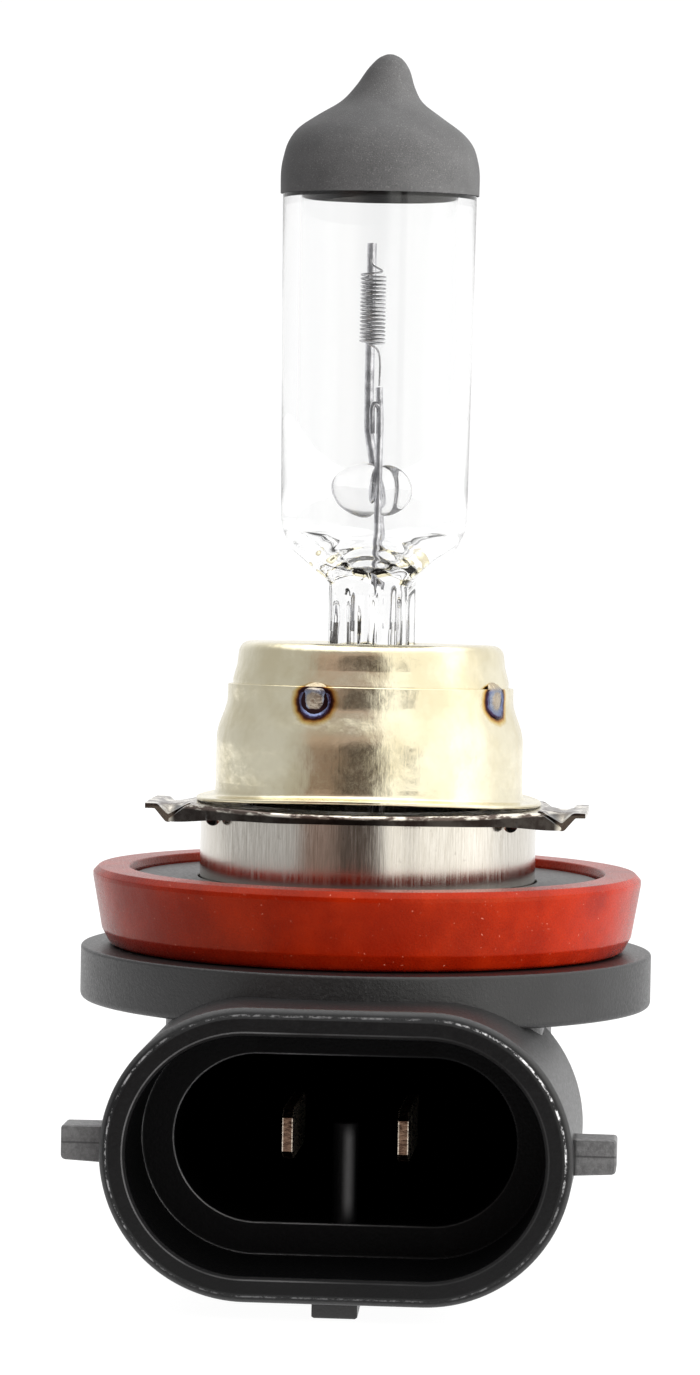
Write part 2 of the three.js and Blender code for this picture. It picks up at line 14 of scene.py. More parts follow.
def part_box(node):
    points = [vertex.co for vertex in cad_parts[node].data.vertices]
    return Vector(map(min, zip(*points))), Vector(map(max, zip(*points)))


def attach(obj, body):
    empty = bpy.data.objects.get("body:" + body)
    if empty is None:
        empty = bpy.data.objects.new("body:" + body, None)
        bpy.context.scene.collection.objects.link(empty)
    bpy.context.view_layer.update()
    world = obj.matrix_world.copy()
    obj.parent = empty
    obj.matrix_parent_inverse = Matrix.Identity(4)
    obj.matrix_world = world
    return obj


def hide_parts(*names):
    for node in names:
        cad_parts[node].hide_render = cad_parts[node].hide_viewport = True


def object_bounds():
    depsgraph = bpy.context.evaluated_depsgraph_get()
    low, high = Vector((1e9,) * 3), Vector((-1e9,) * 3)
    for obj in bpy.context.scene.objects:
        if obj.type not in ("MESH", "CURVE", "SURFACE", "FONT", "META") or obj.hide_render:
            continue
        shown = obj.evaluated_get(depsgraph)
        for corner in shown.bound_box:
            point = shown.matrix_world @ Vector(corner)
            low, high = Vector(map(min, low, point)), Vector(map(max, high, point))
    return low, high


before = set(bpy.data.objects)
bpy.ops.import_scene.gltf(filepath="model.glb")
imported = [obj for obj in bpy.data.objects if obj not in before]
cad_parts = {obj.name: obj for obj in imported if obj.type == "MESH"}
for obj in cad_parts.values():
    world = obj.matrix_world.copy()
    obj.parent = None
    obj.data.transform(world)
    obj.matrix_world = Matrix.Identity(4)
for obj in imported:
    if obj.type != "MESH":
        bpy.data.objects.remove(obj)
cad_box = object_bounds()

MM = 0.001
ROUND = 192                    # steps round a turned piece
ROUND_FINE = 256               # steps round the pieces with the most uneven outlines
WELD_ANGLES = (-18.6, 64.2, 161.4, 244.2)      # degrees from -Y towards +X
WELD_Z = 7.2
WELD_RADIUS = 1.02


class Extent:
    """A CAD node's box, which places the finer piece that stands for it."""

    def __init__(self, node):
        self.low, self.high = (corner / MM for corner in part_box(node))
        self.middle, self.half = (self.high + self.low) / 2, (self.high - self.low) / 2
        self.radius = self.half.x
        self.bottom, self.top = self.low.z, self.high.z


GLASS = Extent("glass_envelope")
COATING = Extent("top_coating")
COIL = Extent("filament_coil")
LONG_SUPPORT = Extent("long_support_wire")
SHORT_SUPPORT = Extent("short_support_wire")
BEAD = Extent("glass_bridge_bead")
CUP = Extent("burner_holder_cup")
SLEEVE = Extent("adjusting_sleeve")
LUGS = Extent("lug_ring")
CAP = Extent("cap_ring")
SEAL = Extent("sealing_ring")
BASE = Extent("base_housing")
BLADE = Extent("terminal_right")
COVER = Extent("rear_cover")

SLEEVE_RIM = 8.05              # radius of the sleeve's upper edge, where the welds are
SLEEVE_TILT = 0.55             # how much lower the sleeve's upper edge is at the back
CROWN_TILT = 0.45              # the same for the cup's crown

# The base, in the same sizes as its CAD node.
SHROUD_Z = -16.33              # the middle of the connector
SHROUD_RADIUS = 7.87
SHROUD_HALF = 4.75             # from the middle to the centre of each round end
SOCKET_RADIUS = 6.35
MOUTH = BASE.low.y
SHOULDER = MOUTH + 7.5         # where the socket narrows into its inner well
INNER_RADIUS = 4.55
INNER_END = MOUTH + 15.5
WELL_HALF_X = 6.5
WELL_Y = (-3.5, 7.5)
BASE_FLANGE = (16.15, -7.1, -10.1)             # radius, top and bottom
BASE_BOTTOM = -22.2
TERMINAL_Z = -16.13
TAB_Z = -16.2                  # middle of the ribs at the shroud's sides


# ---------------------------------------------------------------- curves and outlines

def lerp(a, b, share):
    return a + (b - a) * share


def smoothstep(low, high, value):
    share = min(max((value - low) / (high - low), 0), 1)
    return share * share * (3 - 2 * share)


def shares(count):
    """Equal steps from 0 to 1."""
    return [k / count for k in range(count + 1)]


def around(angle, radius, z):
    """A point at an angle round the axis, from -Y towards +X."""
    return Vector((radius * math.sin(angle), -radius * math.cos(angle), z))


def spline(points, steps):
    """A smooth curve through the points, with this many steps between each two."""
    points = [Vector(p) for p in points]
    points = [2 * points[0] - points[1], *points, 2 * points[-1] - points[-2]]
    curve = []
    for a, b, c, d in zip(points, points[1:], points[2:], points[3:]):
        for t in shares(steps)[:-1]:
            curve.append(0.5 * (2 * b + (c - a) * t + (2 * a - 5 * b + 4 * c - d) * t ** 2
                                + (3 * b - a - 3 * c + d) * t ** 3))
    return [*curve, points[-2]]


def rounded(corners, steps=6, closed=False):
    """A polyline whose corners (u, v, radius) are rounded. A corner without a radius stays sharp."""
    points = []
    count = len(corners)
    for i, corner in enumerate(corners):
        here = Vector(corner[:2])
        at_end = not closed and i in (0, count - 1)
        if len(corner) < 3 or at_end:
            points.append(here)
            continue
        to_last = Vector(corners[i - 1][:2]) - here
        to_next = Vector(corners[(i + 1) % count][:2]) - here
        half_angle = to_last.angle(to_next) / 2
        reach = min(corner[2] / math.tan(half_angle), 0.48 * to_last.length, 0.48 * to_next.length)
        start, end = here + to_last.normalized() * reach, here + to_next.normalized() * reach
        for t in shares(steps):
            points.append((1 - t) ** 2 * start + 2 * t * (1 - t) * here + t ** 2 * end)
    return points


def divided(profile, step, closed=False):
    """The profile with points added so that none are further apart than the step."""
    following = [*profile[1:], profile[0]] if closed else profile[1:]
    points = []
    for a, b in zip(profile, following):
        count = max(1, math.ceil((b - a).length / step))
        points += [a.lerp(b, share) for share in shares(count)[:-1]]
    return points if closed else [*points, profile[-1]]


def inset(profile, distance):
    """A profile of (radius, height) moved square to itself, towards the axis on the way up."""
    moved = []
    for i, point in enumerate(profile):
        along = profile[min(i + 1, len(profile) - 1)] - profile[max(i - 1, 0)]
        along.normalize()
        radius = max(point.x - distance * along.y, 0.01)
        moved.append(Vector((radius, point.y + distance * along.x)))
    return moved


def circle(radius, steps):
    angles = [2 * math.pi * share for share in shares(steps)[:-1]]
    return [Vector((math.cos(a), math.sin(a))) * radius for a in angles]


def offset_outline(corners, radius, steps):
    """Points at a radius round the convex outline of the corners, which run anticlockwise."""
    points = []
    for i, corner in enumerate(corners):
        here = Vector(corner)
        arriving = here - Vector(corners[i - 1])
        leaving = Vector(corners[(i + 1) % len(corners)]) - here
        start = math.atan2(-arriving.x, arriving.y)
        turn = (math.atan2(-leaving.x, leaving.y) - start) % (2 * math.pi)
        for share in shares(steps):
            angle = start + turn * share
            points.append(here + Vector((math.cos(angle), math.sin(angle))) * radius)
    return points


# ---------------------------------------------------------------- meshes

def skin(rings, looped=False):
    """A mesh that joins each ring of points to the next. A ring of one point is a pole."""
    bm = bmesh.new()
    rows = [[bm.verts.new(point) for point in ring] for ring in rings]
    for a, b in zip(rows, rows[1:] + (rows[:1] if looped else [])):
        count = max(len(a), len(b))
        for i in range(count):
            j = (i + 1) % count
            corners = [a[i % len(a)], a[j % len(a)], b[j % len(b)], b[i % len(b)]]
            bm.faces.new(list(dict.fromkeys(corners)))
    bmesh.ops.recalc_face_normals(bm, faces=bm.faces)
    return bm


def round_rings(profile, steps=ROUND_FINE):
    """Rings about the Z axis for a profile of (radius, z). A radius of 0 is a pole."""
    return [[Vector((p.x, p.y, z)) for p in circle(radius, steps if radius > 1e-6 else 1)]
            for radius, z in profile]


def turned(profile, steps=ROUND, looped=False):
    return skin(round_rings(profile, steps), looped)


def ball(steps, rows):
    """A ball of radius 1."""
    angles = [math.pi * share for share in shares(rows)]
    return turned([(math.sin(a), -math.cos(a)) for a in angles], steps)


def upright(u, v, w):
    """Places an outline that is seen from above."""
    return Vector((u, v, w))


def swept(corners, profile, steps, place=upright):
    """A profile of (offset, height) swept round an outline, closed by a flat cap at each end."""
    rings = [[place(p.x, p.y, height) for p in offset_outline(corners, offset, steps)]
             for offset, height in profile]
    middle = sum((Vector(c) for c in corners), Vector((0, 0))) / len(corners)
    caps = [[place(middle.x, middle.y, profile[i][1])] for i in (0, -1)]
    return skin([caps[0], *rings, caps[1]])


def rounded_block(low, high, corner, edge, steps=6):
    """A block whose upright corners and whose top and bottom edges are rounded."""
    inner = corner - edge
    corners = [(low[0] + corner, low[1] + corner), (high[0] - corner, low[1] + corner),
               (high[0] - corner, high[1] - corner), (low[0] + corner, high[1] - corner)]
    profile = rounded([(inner, low[2]), (corner, low[2], edge), (corner, high[2], edge), (inner, high[2])])
    return swept(corners, profile, steps)


def tube(path, radius, sides):
    """A round wire along a path, with slightly rounded ends."""
    ends = (0.55, 0.88, 1)
    side = (path[1] - path[0]).orthogonal().normalized()
    rings = []
    for i, point in enumerate(path):
        along = (path[min(i + 1, len(path) - 1)] - path[max(i - 1, 0)]).normalized()
        side = (side - along * side.dot(along)).normalized()
        across = along.cross(side)

        def ring(scale, shift):
            return [point + along * shift + side * p.x + across * p.y
                    for p in circle(radius * scale, sides)]

        if i == 0:
            rings += [[point - along * radius * 0.2]] + [ring(s, -radius * 0.2 * (1 - s)) for s in ends[:2]]
        rings.append(ring(1, 0))
        if i == len(path) - 1:
            rings += [ring(s, radius * 0.2 * (1 - s)) for s in reversed(ends[:2])]
            rings.append([point + along * radius * 0.2])
    return skin(rings)


def from_bmesh(bm, name="tool"):
    mesh = bpy.data.meshes.new(name)
    bm.to_mesh(mesh)
    bm.free()
    obj = bpy.data.objects.new(name, mesh)
    bpy.context.scene.collection.objects.link(obj)
    return obj


def combine(base, tools, operation):
    """base with each tool joined on (UNION) or cut away (DIFFERENCE)."""
    for tool in tools:
        modifier = base.modifiers.new("combine", "BOOLEAN")
        modifier.operation = operation
        modifier.solver = "MANIFOLD"
        modifier.object = tool
    evaluated = base.evaluated_get(bpy.context.evaluated_depsgraph_get())
    mesh = bpy.data.meshes.new_from_object(evaluated)
    base.modifiers.clear()
    base.data = mesh
    for tool in tools:
        bpy.data.objects.remove(tool)
    return base


def hollowed(bm, cavity):
    """One mesh of the outer surface with the cavity's surface facing into the cavity."""
    bmesh.ops.reverse_faces(cavity, faces=cavity.faces)
    mesh = bpy.data.meshes.new("cavity")
    cavity.to_mesh(mesh)
    cavity.free()
    bm.from_mesh(mesh)
    bpy.data.meshes.remove(mesh)
    return bm


def ruffle(bm, height, size, seed):
    """Moves the points square to the axis by smooth noise, as sheet metal and soft rubber are uneven."""
    for vert in bm.verts:
        outward = Vector((vert.co.x, vert.co.y, 0)).normalized()
        vert.co += outward * height * noise.noise(vert.co / size + Vector((seed, 0, 0)))
    return bm


def finish_piece(obj, name, node, material, body="bulb", sharp=32, weighted=False):
    """Turns the mesh into metres, shades and paints it, and lets it stand for its CAD node."""
    obj.name = obj.data.name = name
    obj.data.transform(Matrix.Scale(MM, 4))
    obj.data.shade_smooth()
    obj.data.set_sharp_from_angle(angle=math.radians(sharp))
    if weighted:
        modifier = obj.modifiers.new("even_shading", "WEIGHTED_NORMAL")
        modifier.keep_sharp = True
    obj.data.materials.clear()
    obj.data.materials.append(material)
    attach(obj, body)
    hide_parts(node)


# ---------------------------------------------------------------- material nodes

class Nodes:
    """Short calls for building one node tree."""

    def __init__(self, owner):
        owner.use_nodes = True
        self.tree = owner.node_tree
        self.tree.nodes.clear()

    def add(self, kind, inputs=None, out=0, **settings):
        """Adds a node, sets its settings and inputs, and returns one of its outputs."""
        node = self.tree.nodes.new(kind)
        for name, value in settings.items():
            setattr(node, name, value)
        for name, value in (inputs or {}).items():
            if isinstance(value, bpy.types.NodeSocket):
                self.tree.links.new(value, node.inputs[name])
            else:
                node.inputs[name].default_value = value
        return node.outputs[out] if node.outputs else None

    def place(self, stretch=(1, 1, 1)):
        """Position on the object in millimetres, scaled along each axis."""
        coords = self.add("ShaderNodeTexCoord", out="Object")
        scale = [s / MM for s in stretch]
        return self.add("ShaderNodeVectorMath", {0: coords, 1: scale}, operation="MULTIPLY")

    def noise(self, scale, detail, stretch=(1, 1, 1), rough=0.5):
        return self.add("ShaderNodeTexNoise", {
            "Vector": self.place(stretch), "Scale": scale, "Detail": detail, "Roughness": rough})

    def parts(self, vector):
        """A vector's x, y and z."""
        split = self.tree.nodes.new("ShaderNodeSeparateXYZ")
        self.tree.links.new(vector, split.inputs[0])
        return split.outputs

    def axes(self):
        """The three coordinates of a place on the object, in millimetres."""
        return self.parts(self.place())

    def length(self, a, b):
        """The length of a vector of two parts."""
        return self.math("SQRT", self.math("ADD", self.times(a, a), self.times(b, b)))

    def from_axis(self):
        """Distance from the bulb's axis, and height along it."""
        x, y, z = self.axes()
        return self.length(x, y), z

    def math(self, operation, a, b=0.0, c=0.0):
        return self.add("ShaderNodeMath", {0: a, 1: b, 2: c}, operation=operation)

    def times(self, first, *others):
        for other in others:
            first = self.math("MULTIPLY", first, other)
        return first

    def off(self, value, middle):
        """How far the value is from the middle, to either side."""
        return self.math("ABSOLUTE", self.math("SUBTRACT", value, middle))

    def span(self, value, low, high, to_low=0.0, to_high=1.0):
        """The value's range low to high, mapped smoothly to another range."""
        return self.add("ShaderNodeMapRange", {
            "Value": value, "From Min": low, "From Max": high, "To Min": to_low, "To Max": to_high},
            interpolation_type="SMOOTHSTEP")

    def mix(self, share, a, b, blend="MIX"):
        """Mixes two colours, which are inputs 6 and 7 of the node."""
        return self.add("ShaderNodeMix", {0: share, 6: a, 7: b}, out=2, data_type="RGBA",
                        blend_type=blend, clamp_factor=True)

    def ramp(self, share, stops):
        node = self.tree.nodes.new("ShaderNodeValToRGB")
        self.tree.links.new(share, node.inputs[0])
        elements = node.color_ramp.elements
        while len(elements) < len(stops):
            elements.new(0.5)
        for element, (position, color) in zip(elements, stops):
            element.position, element.color = position, color
        return node.outputs[0]

    def bump(self, height, distance, strength=1.0, below=None):
        inputs = {"Height": height, "Distance": distance * MM, "Strength": strength}
        if below is not None:
            inputs["Normal"] = below
        return self.add("ShaderNodeBump", inputs)

    def surface(self, color, roughness, normal, more):
        """Ends the tree with one Principled shader. more holds its other inputs by name."""
        inputs = {"Base Color": color, "Roughness": roughness, **more}
        if normal is not None:
            inputs["Normal"] = normal
        shader = self.add("ShaderNodeBsdfPrincipled", inputs)
        self.add("ShaderNodeOutputMaterial", {"Surface": shader})

    def metal(self, color, roughness, normal):
        self.surface(color, roughness, normal, {"Metallic": 1.0})


def srgb(red, green, blue):
    """A screen colour of 0 to 255 as the linear colour that the nodes take."""
    def linear(value):
        value /= 255
        return value / 12.92 if value <= 0.04045 else ((value + 0.055) / 1.055) ** 2.4
    return (linear(red), linear(green), linear(blue), 1.0)


def grey(value):
    return (value, value, value, 1.0)


def material(build):
    """A material that carries its function's name."""
    made = bpy.data.materials.new(build.__name__)
    build(Nodes(made))
    return made


def clear_glass(n):
    """Quartz glass with the faint upright lines of its drawing."""
    lines = n.noise(0.9, 2, stretch=(1, 1, 0.06))
    waves = n.noise(0.35, 1)
    normal = n.bump(waves, 0.006, below=n.bump(lines, 0.0012))
    tint = n.mix(n.span(lines, 0.3, 0.7), (0.965, 0.968, 0.968, 1), (0.985, 0.986, 0.986, 1))
    n.surface(tint, 0.0, normal, {"IOR": 1.46, "Transmission Weight": 1.0})


def bead_glass(n):
    normal = n.bump(n.noise(0.8, 1), 0.08)
    n.surface(grey(0.99), 0.0, normal, {"IOR": 1.27, "Transmission Weight": 1.0})


def opaque_paint(n):
    """Charcoal high-temperature paint with a fine dry grain."""
    grain = n.noise(14, 2, rough=0.7)
    cloud = n.noise(0.5, 3)
    tone = n.mix(n.span(cloud, 0.3, 0.7), srgb(74, 74, 75), srgb(82, 82, 83))
    tone = n.mix(n.span(grain, 0.56, 0.7, 0, 0.45), tone, srgb(134, 134, 135))
    tone = n.mix(n.span(grain, 0.42, 0.32, 0, 0.6), tone, srgb(46, 46, 47))
    radius, height = n.from_axis()
    # Painted shade: the paint's inner side near its lower edge is darkened.
    shaded_inner_side = n.times(n.span(radius, 5.57, 5.53), n.span(height, 36.6, 36.4))
    tone = n.mix(shaded_inner_side, tone, srgb(40, 40, 42))
    normal = n.bump(grain, 0.022, 0.8)
    n.surface(tone, n.span(grain, 0.3, 0.7, 0.62, 0.8), normal, {"Specular IOR Level": 0.35})


def molybdenum(n):
    """Molybdenum wire with fine draw lines and a little oxide."""
    lines = n.noise(14, 2, stretch=(1, 1, 0.08))
    tone = n.mix(n.span(n.noise(1.2, 3), 0.35, 0.65), srgb(168, 168, 172), srgb(214, 214, 218))
    n.metal(tone, n.span(lines, 0.3, 0.7, 0.14, 0.28), n.bump(lines, 0.006))


def tungsten(n):
    tone = n.mix(n.span(n.noise(2, 2), 0.35, 0.65), srgb(168, 168, 170), srgb(208, 208, 210))
    n.metal(tone, 0.24, n.bump(n.noise(20, 2), 0.006))


def foil_metal(n):
    crumple = n.noise(2.5, 3)
    n.metal(n.mix(crumple, srgb(90, 88, 88), srgb(150, 148, 146)), 0.4, n.bump(crumple, 0.03))


def nickel_plate(n):
    """Champagne-coloured plating on drawn sheet, tinted by the heat of the welds."""
    cloud = n.noise(0.22, 4, rough=0.6)
    grain = n.noise(7, 4, stretch=(1, 1, 0.7), rough=0.7)
    lines = n.noise(6, 2, stretch=(1, 1, 0.05))
    tone = n.mix(n.span(cloud, 0.35, 0.68), srgb(222, 212, 180), srgb(241, 234, 208))
    tone = n.mix(n.span(grain, 0.58, 0.74, 0, 0.22), tone, srgb(196, 182, 146))
    distance = n.add("ShaderNodeAttribute", out="Fac", attribute_name="weld_distance")
    _, _, z = n.axes()
    distance = n.math("ADD", distance, n.span(z, SLEEVE.top - 0.3, SLEEVE.top + 0.4, 0, 0.5))
    wander = n.math("MULTIPLY_ADD", n.noise(2.2, 3), 0.24, n.math("SUBTRACT", distance, 0.12))
    heat = n.ramp(n.math("DIVIDE", wander, 2.0), [
        (0.0, srgb(70, 52, 60)), (0.5, srgb(52, 34, 48)), (0.545, srgb(96, 56, 44)),
        (0.59, srgb(196, 146, 84)), (0.65, srgb(236, 214, 160)), (0.76, srgb(255, 255, 255))])
    tone = n.mix(1.0, tone, heat, "MULTIPLY")
    dents = n.bump(n.noise(0.5, 2), 0.09, below=n.bump(n.noise(1.4, 3), 0.014))
    normal = n.bump(grain, 0.005, below=n.bump(lines, 0.004, below=dents))
    n.metal(tone, n.span(grain, 0.3, 0.7, 0.15, 0.26), normal)


def bright_steel(n):
    """Bright pressed sheet with handling marks and darker, oily patches, painted shade on its skirt and
    painted glints along its edge.
    """
    patches = n.noise(0.7, 4, rough=0.65)
    grain = n.noise(8, 3)
    tone = n.mix(n.span(patches, 0.38, 0.62), srgb(122, 114, 104), srgb(208, 202, 190))
    x, _, z = n.axes()
    radius, _ = n.from_axis()
    # Painted shade, and a painted dark red reflection of the seal, on the turned-down skirt under the
    # ring's edge.
    skirt_shade = n.times(n.span(radius, 9.9, 10.1), n.span(z, 0.98, 0.86), n.span(n.off(x, 0), 11.0, 10.6))
    tone = n.mix(n.times(skirt_shade, 0.94), tone, srgb(22, 13, 12))
    # Painted highlight: bright glints in flecks along the ring's top edge, darker between them.
    edge = n.times(n.span(radius, 9.9, 10.05), n.span(z, 0.8, 0.92))
    glint_flecks = n.span(n.noise(0.9, 4, stretch=(1, 1, 4), rough=0.6), 0.45, 0.6)
    tone = n.mix(edge, tone, n.mix(glint_flecks, srgb(98, 86, 80), srgb(230, 224, 212)))
    normal = n.bump(n.noise(0.8, 2), 0.035, below=n.bump(grain, 0.003))
    n.metal(tone, n.span(patches, 0.3, 0.7, 0.3, 0.18), normal)


def brushed_steel(n):
    """Sheet steel with fine lines that run along the bulb's axis."""
    fine = n.noise(11, 3, stretch=(1, 1, 0.05), rough=0.7)
    coarse = n.noise(0.7, 2, stretch=(1, 1, 0.1))
    marks = n.noise(3, 4, stretch=(1, 1, 0.5), rough=0.7)
    tone = n.mix(n.span(fine, 0.25, 0.75), srgb(192, 186, 176), srgb(222, 218, 210))
    tone = n.mix(n.span(marks, 0.62, 0.72, 0, 0.35), tone, srgb(136, 124, 112))
    normal = n.bump(coarse, 0.012, below=n.bump(fine, 0.003))
    n.metal(tone, n.span(fine, 0.3, 0.7, 0.12, 0.22), normal)


def weld_metal(n):
    """A melted pool: silvery in the middle, blue and purple oxide towards its rim."""
    reach = n.add("ShaderNodeAttribute", out="Fac", attribute_name="weld_distance")
    wander = n.math("MULTIPLY_ADD", n.noise(3, 3), 0.25, n.math("SUBTRACT", reach, 0.125))
    tone = n.ramp(n.math("DIVIDE", wander, WELD_RADIUS * 1.1), [
        (0.0, srgb(196, 184, 164)), (0.4, srgb(168, 156, 142)), (0.5, srgb(140, 146, 160)),
        (0.72, srgb(112, 122, 158)), (0.84, srgb(64, 46, 72)), (0.95, srgb(40, 24, 28))])
    _, _, z = n.axes()
    tone = n.mix(n.span(z, SLEEVE.top - 0.35, SLEEVE.top), tone, srgb(186, 172, 146))
    ripples = n.noise(4, 3)
    n.metal(tone, n.span(ripples, 0.3, 0.7, 0.22, 0.42), n.bump(ripples, 0.06))


def silicone(n):
    """Red silicone rubber with a dusty bloom and tiny pale specks."""
    cloud = n.noise(0.3, 4, rough=0.6)
    fine = n.noise(8, 3)
    specks = n.noise(5.5, 2, rough=0.4)
    tone = n.mix(n.span(cloud, 0.3, 0.7), srgb(122, 15, 0), srgb(146, 29, 3))
    tone = n.mix(n.span(specks, 0.72, 0.78, 0, 0.5), tone, srgb(226, 150, 130))
    normal = n.bump(fine, 0.008, below=n.bump(n.noise(0.8, 3), 0.03))
    n.surface(tone, n.span(fine, 0.3, 0.7, 0.24, 0.34), normal,
              {"Specular IOR Level": 0.24, "Specular Tint": (1, 0.55, 0.3, 1)})


def rib_light(n, reach, x, y, z):
    """The soft light on the front edge of the partition between the terminals."""
    front = n.times(n.span(y, SHOULDER + 2, SHOULDER + 0.9),
                    n.span(reach, INNER_RADIUS, INNER_RADIUS - 0.2))
    height = n.times(n.span(z, SHROUD_Z + 1.0, SHROUD_Z), n.span(z, SHROUD_Z - 4.6, SHROUD_Z - 3.2))
    return n.times(front, n.span(n.off(x, 0.2), 0.42, 0.0), height)


def tab_tone(n, z):
    """Lighter, mottled plastic on the tab, with the mould's parting line across it."""
    mottle = n.noise(3.5, 5, rough=0.8)
    tone = n.mix(n.span(mottle, 0.35, 0.65), srgb(78, 78, 79), srgb(104, 104, 105))
    seam = n.span(n.off(z, TAB_Z + 0.1), 0.07, 0.03)
    return n.mix(n.times(seam, 0.7), tone, srgb(30, 30, 31))


def edge_lights(n, reach, x, y, z, flow):
    """Painted lines of light round the edges of the socket, brightest at the left; at the mouth the line is
    broken into chipped dashes and lit only where the light falls.
    """
    # Strength of the painted lines: uneven by noise, and brighter towards the left, where the light falls.
    uneven = n.times(n.span(flow, 0.3, 0.7, 0.15, 0.45), n.span(x, 7, -9, 0.15, 1.0))
    # The mouth's painted highlight shows only at the upper right and at the left.
    upper_right = n.times(n.span(x, 4, 9), n.span(z, SHROUD_Z - 3, SHROUD_Z + 1))
    lit = n.math("MAXIMUM", upper_right, n.span(x, -8, -12, 0.2, 0.7))
    chipped_rim_light = n.times(n.span(n.noise(1.6, 6, rough=0.8), 0.46, 0.6), lit)
    faint, soft = n.times(uneven, 0.4), n.times(uneven, 0.6)
    edges = [(SHROUD_RADIUS - 0.38, MOUTH, 0.08, chipped_rim_light), (SOCKET_RADIUS + 0.24, MOUTH, 0.06, faint),
             (SOCKET_RADIUS, SHOULDER, 0.05, faint), (INNER_RADIUS + 0.08, SHOULDER, 0.05, soft)]
    lights = []
    for radius, depth, half, strength in edges:
        near = n.span(n.off(reach, radius), half, half * 0.3)
        level = n.span(n.off(y, depth), half * 3, half * 2)
        lights.append(n.times(near, level, strength))
    return lights


def black_plastic(n):
    """Glass-filled black nylon: mould grain, painted shade that makes the socket nearly black and the
    mouth's rim darker, and edges that catch the light.
    """
    grain = n.noise(5.5, 3, rough=0.65)
    flow = n.noise(0.25, 3)
    tone = n.mix(n.span(flow, 0.3, 0.7), srgb(24, 24, 25), srgb(33, 33, 34))
    tone = n.mix(n.span(grain, 0.6, 0.72, 0, 0.3), tone, srgb(66, 66, 67))

    x, y, z = n.axes()
    beyond = n.math("MAXIMUM", n.math("SUBTRACT", n.off(x, 0), SHROUD_HALF), 0.0)
    reach = n.length(beyond, n.math("SUBTRACT", z, SHROUD_Z))
    # Painted shade: the rim round the mouth is darkened.
    rim = n.times(n.span(reach, SHROUD_RADIUS - 0.05, SHROUD_RADIUS - 0.3),
                  n.span(y, MOUTH + 1, MOUTH + 0.6))
    # Painted shade: inside the socket is painted nearly black.
    within = n.times(n.span(reach, SOCKET_RADIUS + 0.2, SOCKET_RADIUS),
                     n.span(y, INNER_END + 0.9, INNER_END + 0.5))
    # Painted shade: the inner well past the shoulder is painted black.
    deep = n.times(n.span(reach, INNER_RADIUS + 0.05, INNER_RADIUS - 0.05),
                   n.span(y, SHOULDER + 0.2, SHOULDER + 0.6), within)
    shroud_side = SHROUD_HALF + SHROUD_RADIUS
    tab = n.times(n.span(n.off(x, 0), shroud_side - 0.02, shroud_side + 0.18),
                  n.span(z, TAB_Z + 2.2, TAB_Z + 1.7))
    # Painted shade on the mouth's rim, inside the socket and in the well.
    tone = n.mix(n.times(rim, 0.8), tone, srgb(8, 8, 9))
    tone = n.mix(within, tone, srgb(9, 9, 10))
    tone = n.mix(deep, tone, grey(0.0))
    tone = n.mix(rib_light(n, reach, x, y, z), tone, srgb(72, 72, 73))
    tone = n.mix(n.times(tab, 0.85), tone, tab_tone(n, z))
    for light in edge_lights(n, reach, x, y, z, flow):
        tone = n.mix(light, tone, srgb(196, 196, 198))
    shaded = n.math("MAXIMUM", within, n.times(rim, 0.7))
    gloss = n.times(n.span(shaded, 0, 1, 0.58, 0.06), n.math("SUBTRACT", 1.0, deep))
    n.surface(tone, n.span(grain, 0.3, 0.7, 0.32, 0.46), n.bump(grain, 0.025),
              {"Specular IOR Level": gloss})


def tinned_brass(n):
    """Tin-plated blade, brassy and rough on its sheared tip."""
    shear = n.noise(7, 3, stretch=(0.3, 1, 1))
    tone = n.mix(n.span(shear, 0.35, 0.65), srgb(92, 70, 58), srgb(138, 112, 94))
    x, _, _ = n.axes()
    tone = n.mix(n.span(n.off(n.off(x, 0), BLADE.middle.x), 0.2, 0.26), tone, srgb(236, 222, 204))
    n.metal(tone, n.span(shear, 0.3, 0.7, 0.2, 0.4), n.bump(shear, 0.03))


# ---------------------------------------------------------------- glass capsule

COATING_THICKNESS = 0.1
GLASS_GAP = 0.03               # between the glass and the paint over it, so that neither cuts the other
TUBE_RADIUS_LOW = 5.26
TUBE_RADIUS_HIGH = 5.47
TUBE_BASE = 17.2
NECK = 13.6                    # where the shoulder has narrowed into the pinch
PINCH_HALF_X = 2.26
PINCH_HALF_Y = 4.6
PINCH_WEB = 1.5
PINCH_RIB_Y = 3.2
PRESS_GROOVES = (-0.9, 0.45, 1.65)     # places across the pinch where the jaws left upright grooves


def lean(bm):
    """The tipped-off nipple leans to the right, and the shoulder under it bulges a little to the left."""
    nipple_foot, shoulder, spread = 40, 39.4, 0.9
    for vert in bm.verts:
        rise = smoothstep(nipple_foot, COATING.top, vert.co.z)
        bulge = math.exp(-((vert.co.z - shoulder) / spread) ** 2)
        vert.co.x += 0.44 * rise - 0.14 * bulge
    return bm


def cap_profile():
    """Outside of the paint, from its lower edge up over the shoulder to the tip of the nipple."""
    radius, top = COATING.radius, COATING.top
    return spline([
        (radius, COATING.bottom), (radius, 36.6), (5.48, 37.4), (5.2, 38.25), (4.58, 39.03), (3.5, 39.8),
        (2.32, 40.6), (1.68, 41.45), (1.2, 42.4), (0.72, 43.0), (0.28, 43.25), (0, top)], 8)


def make_coating(paint):
    outside = cap_profile()
    inside = inset(outside, COATING_THICKNESS)
    inside[0].y = outside[0].y
    inside[-1].x = 0
    bm = turned([*reversed(inside), *outside], 128)
    obj = from_bmesh(lean(bm))
    finish_piece(obj, "paint_cap", "top_coating", paint)


def rounded_section(half_x, half_y, power, z, steps=ROUND_FINE):
    """A ring between an ellipse (power 2) and a rectangle (high power)."""
    ring = []
    for c, s in circle(1, steps):
        reach = (abs(c / half_x) ** power + abs(s / half_y) ** power) ** (-1 / power)
        ring.append(Vector((reach * c, reach * s, z)))
    return ring


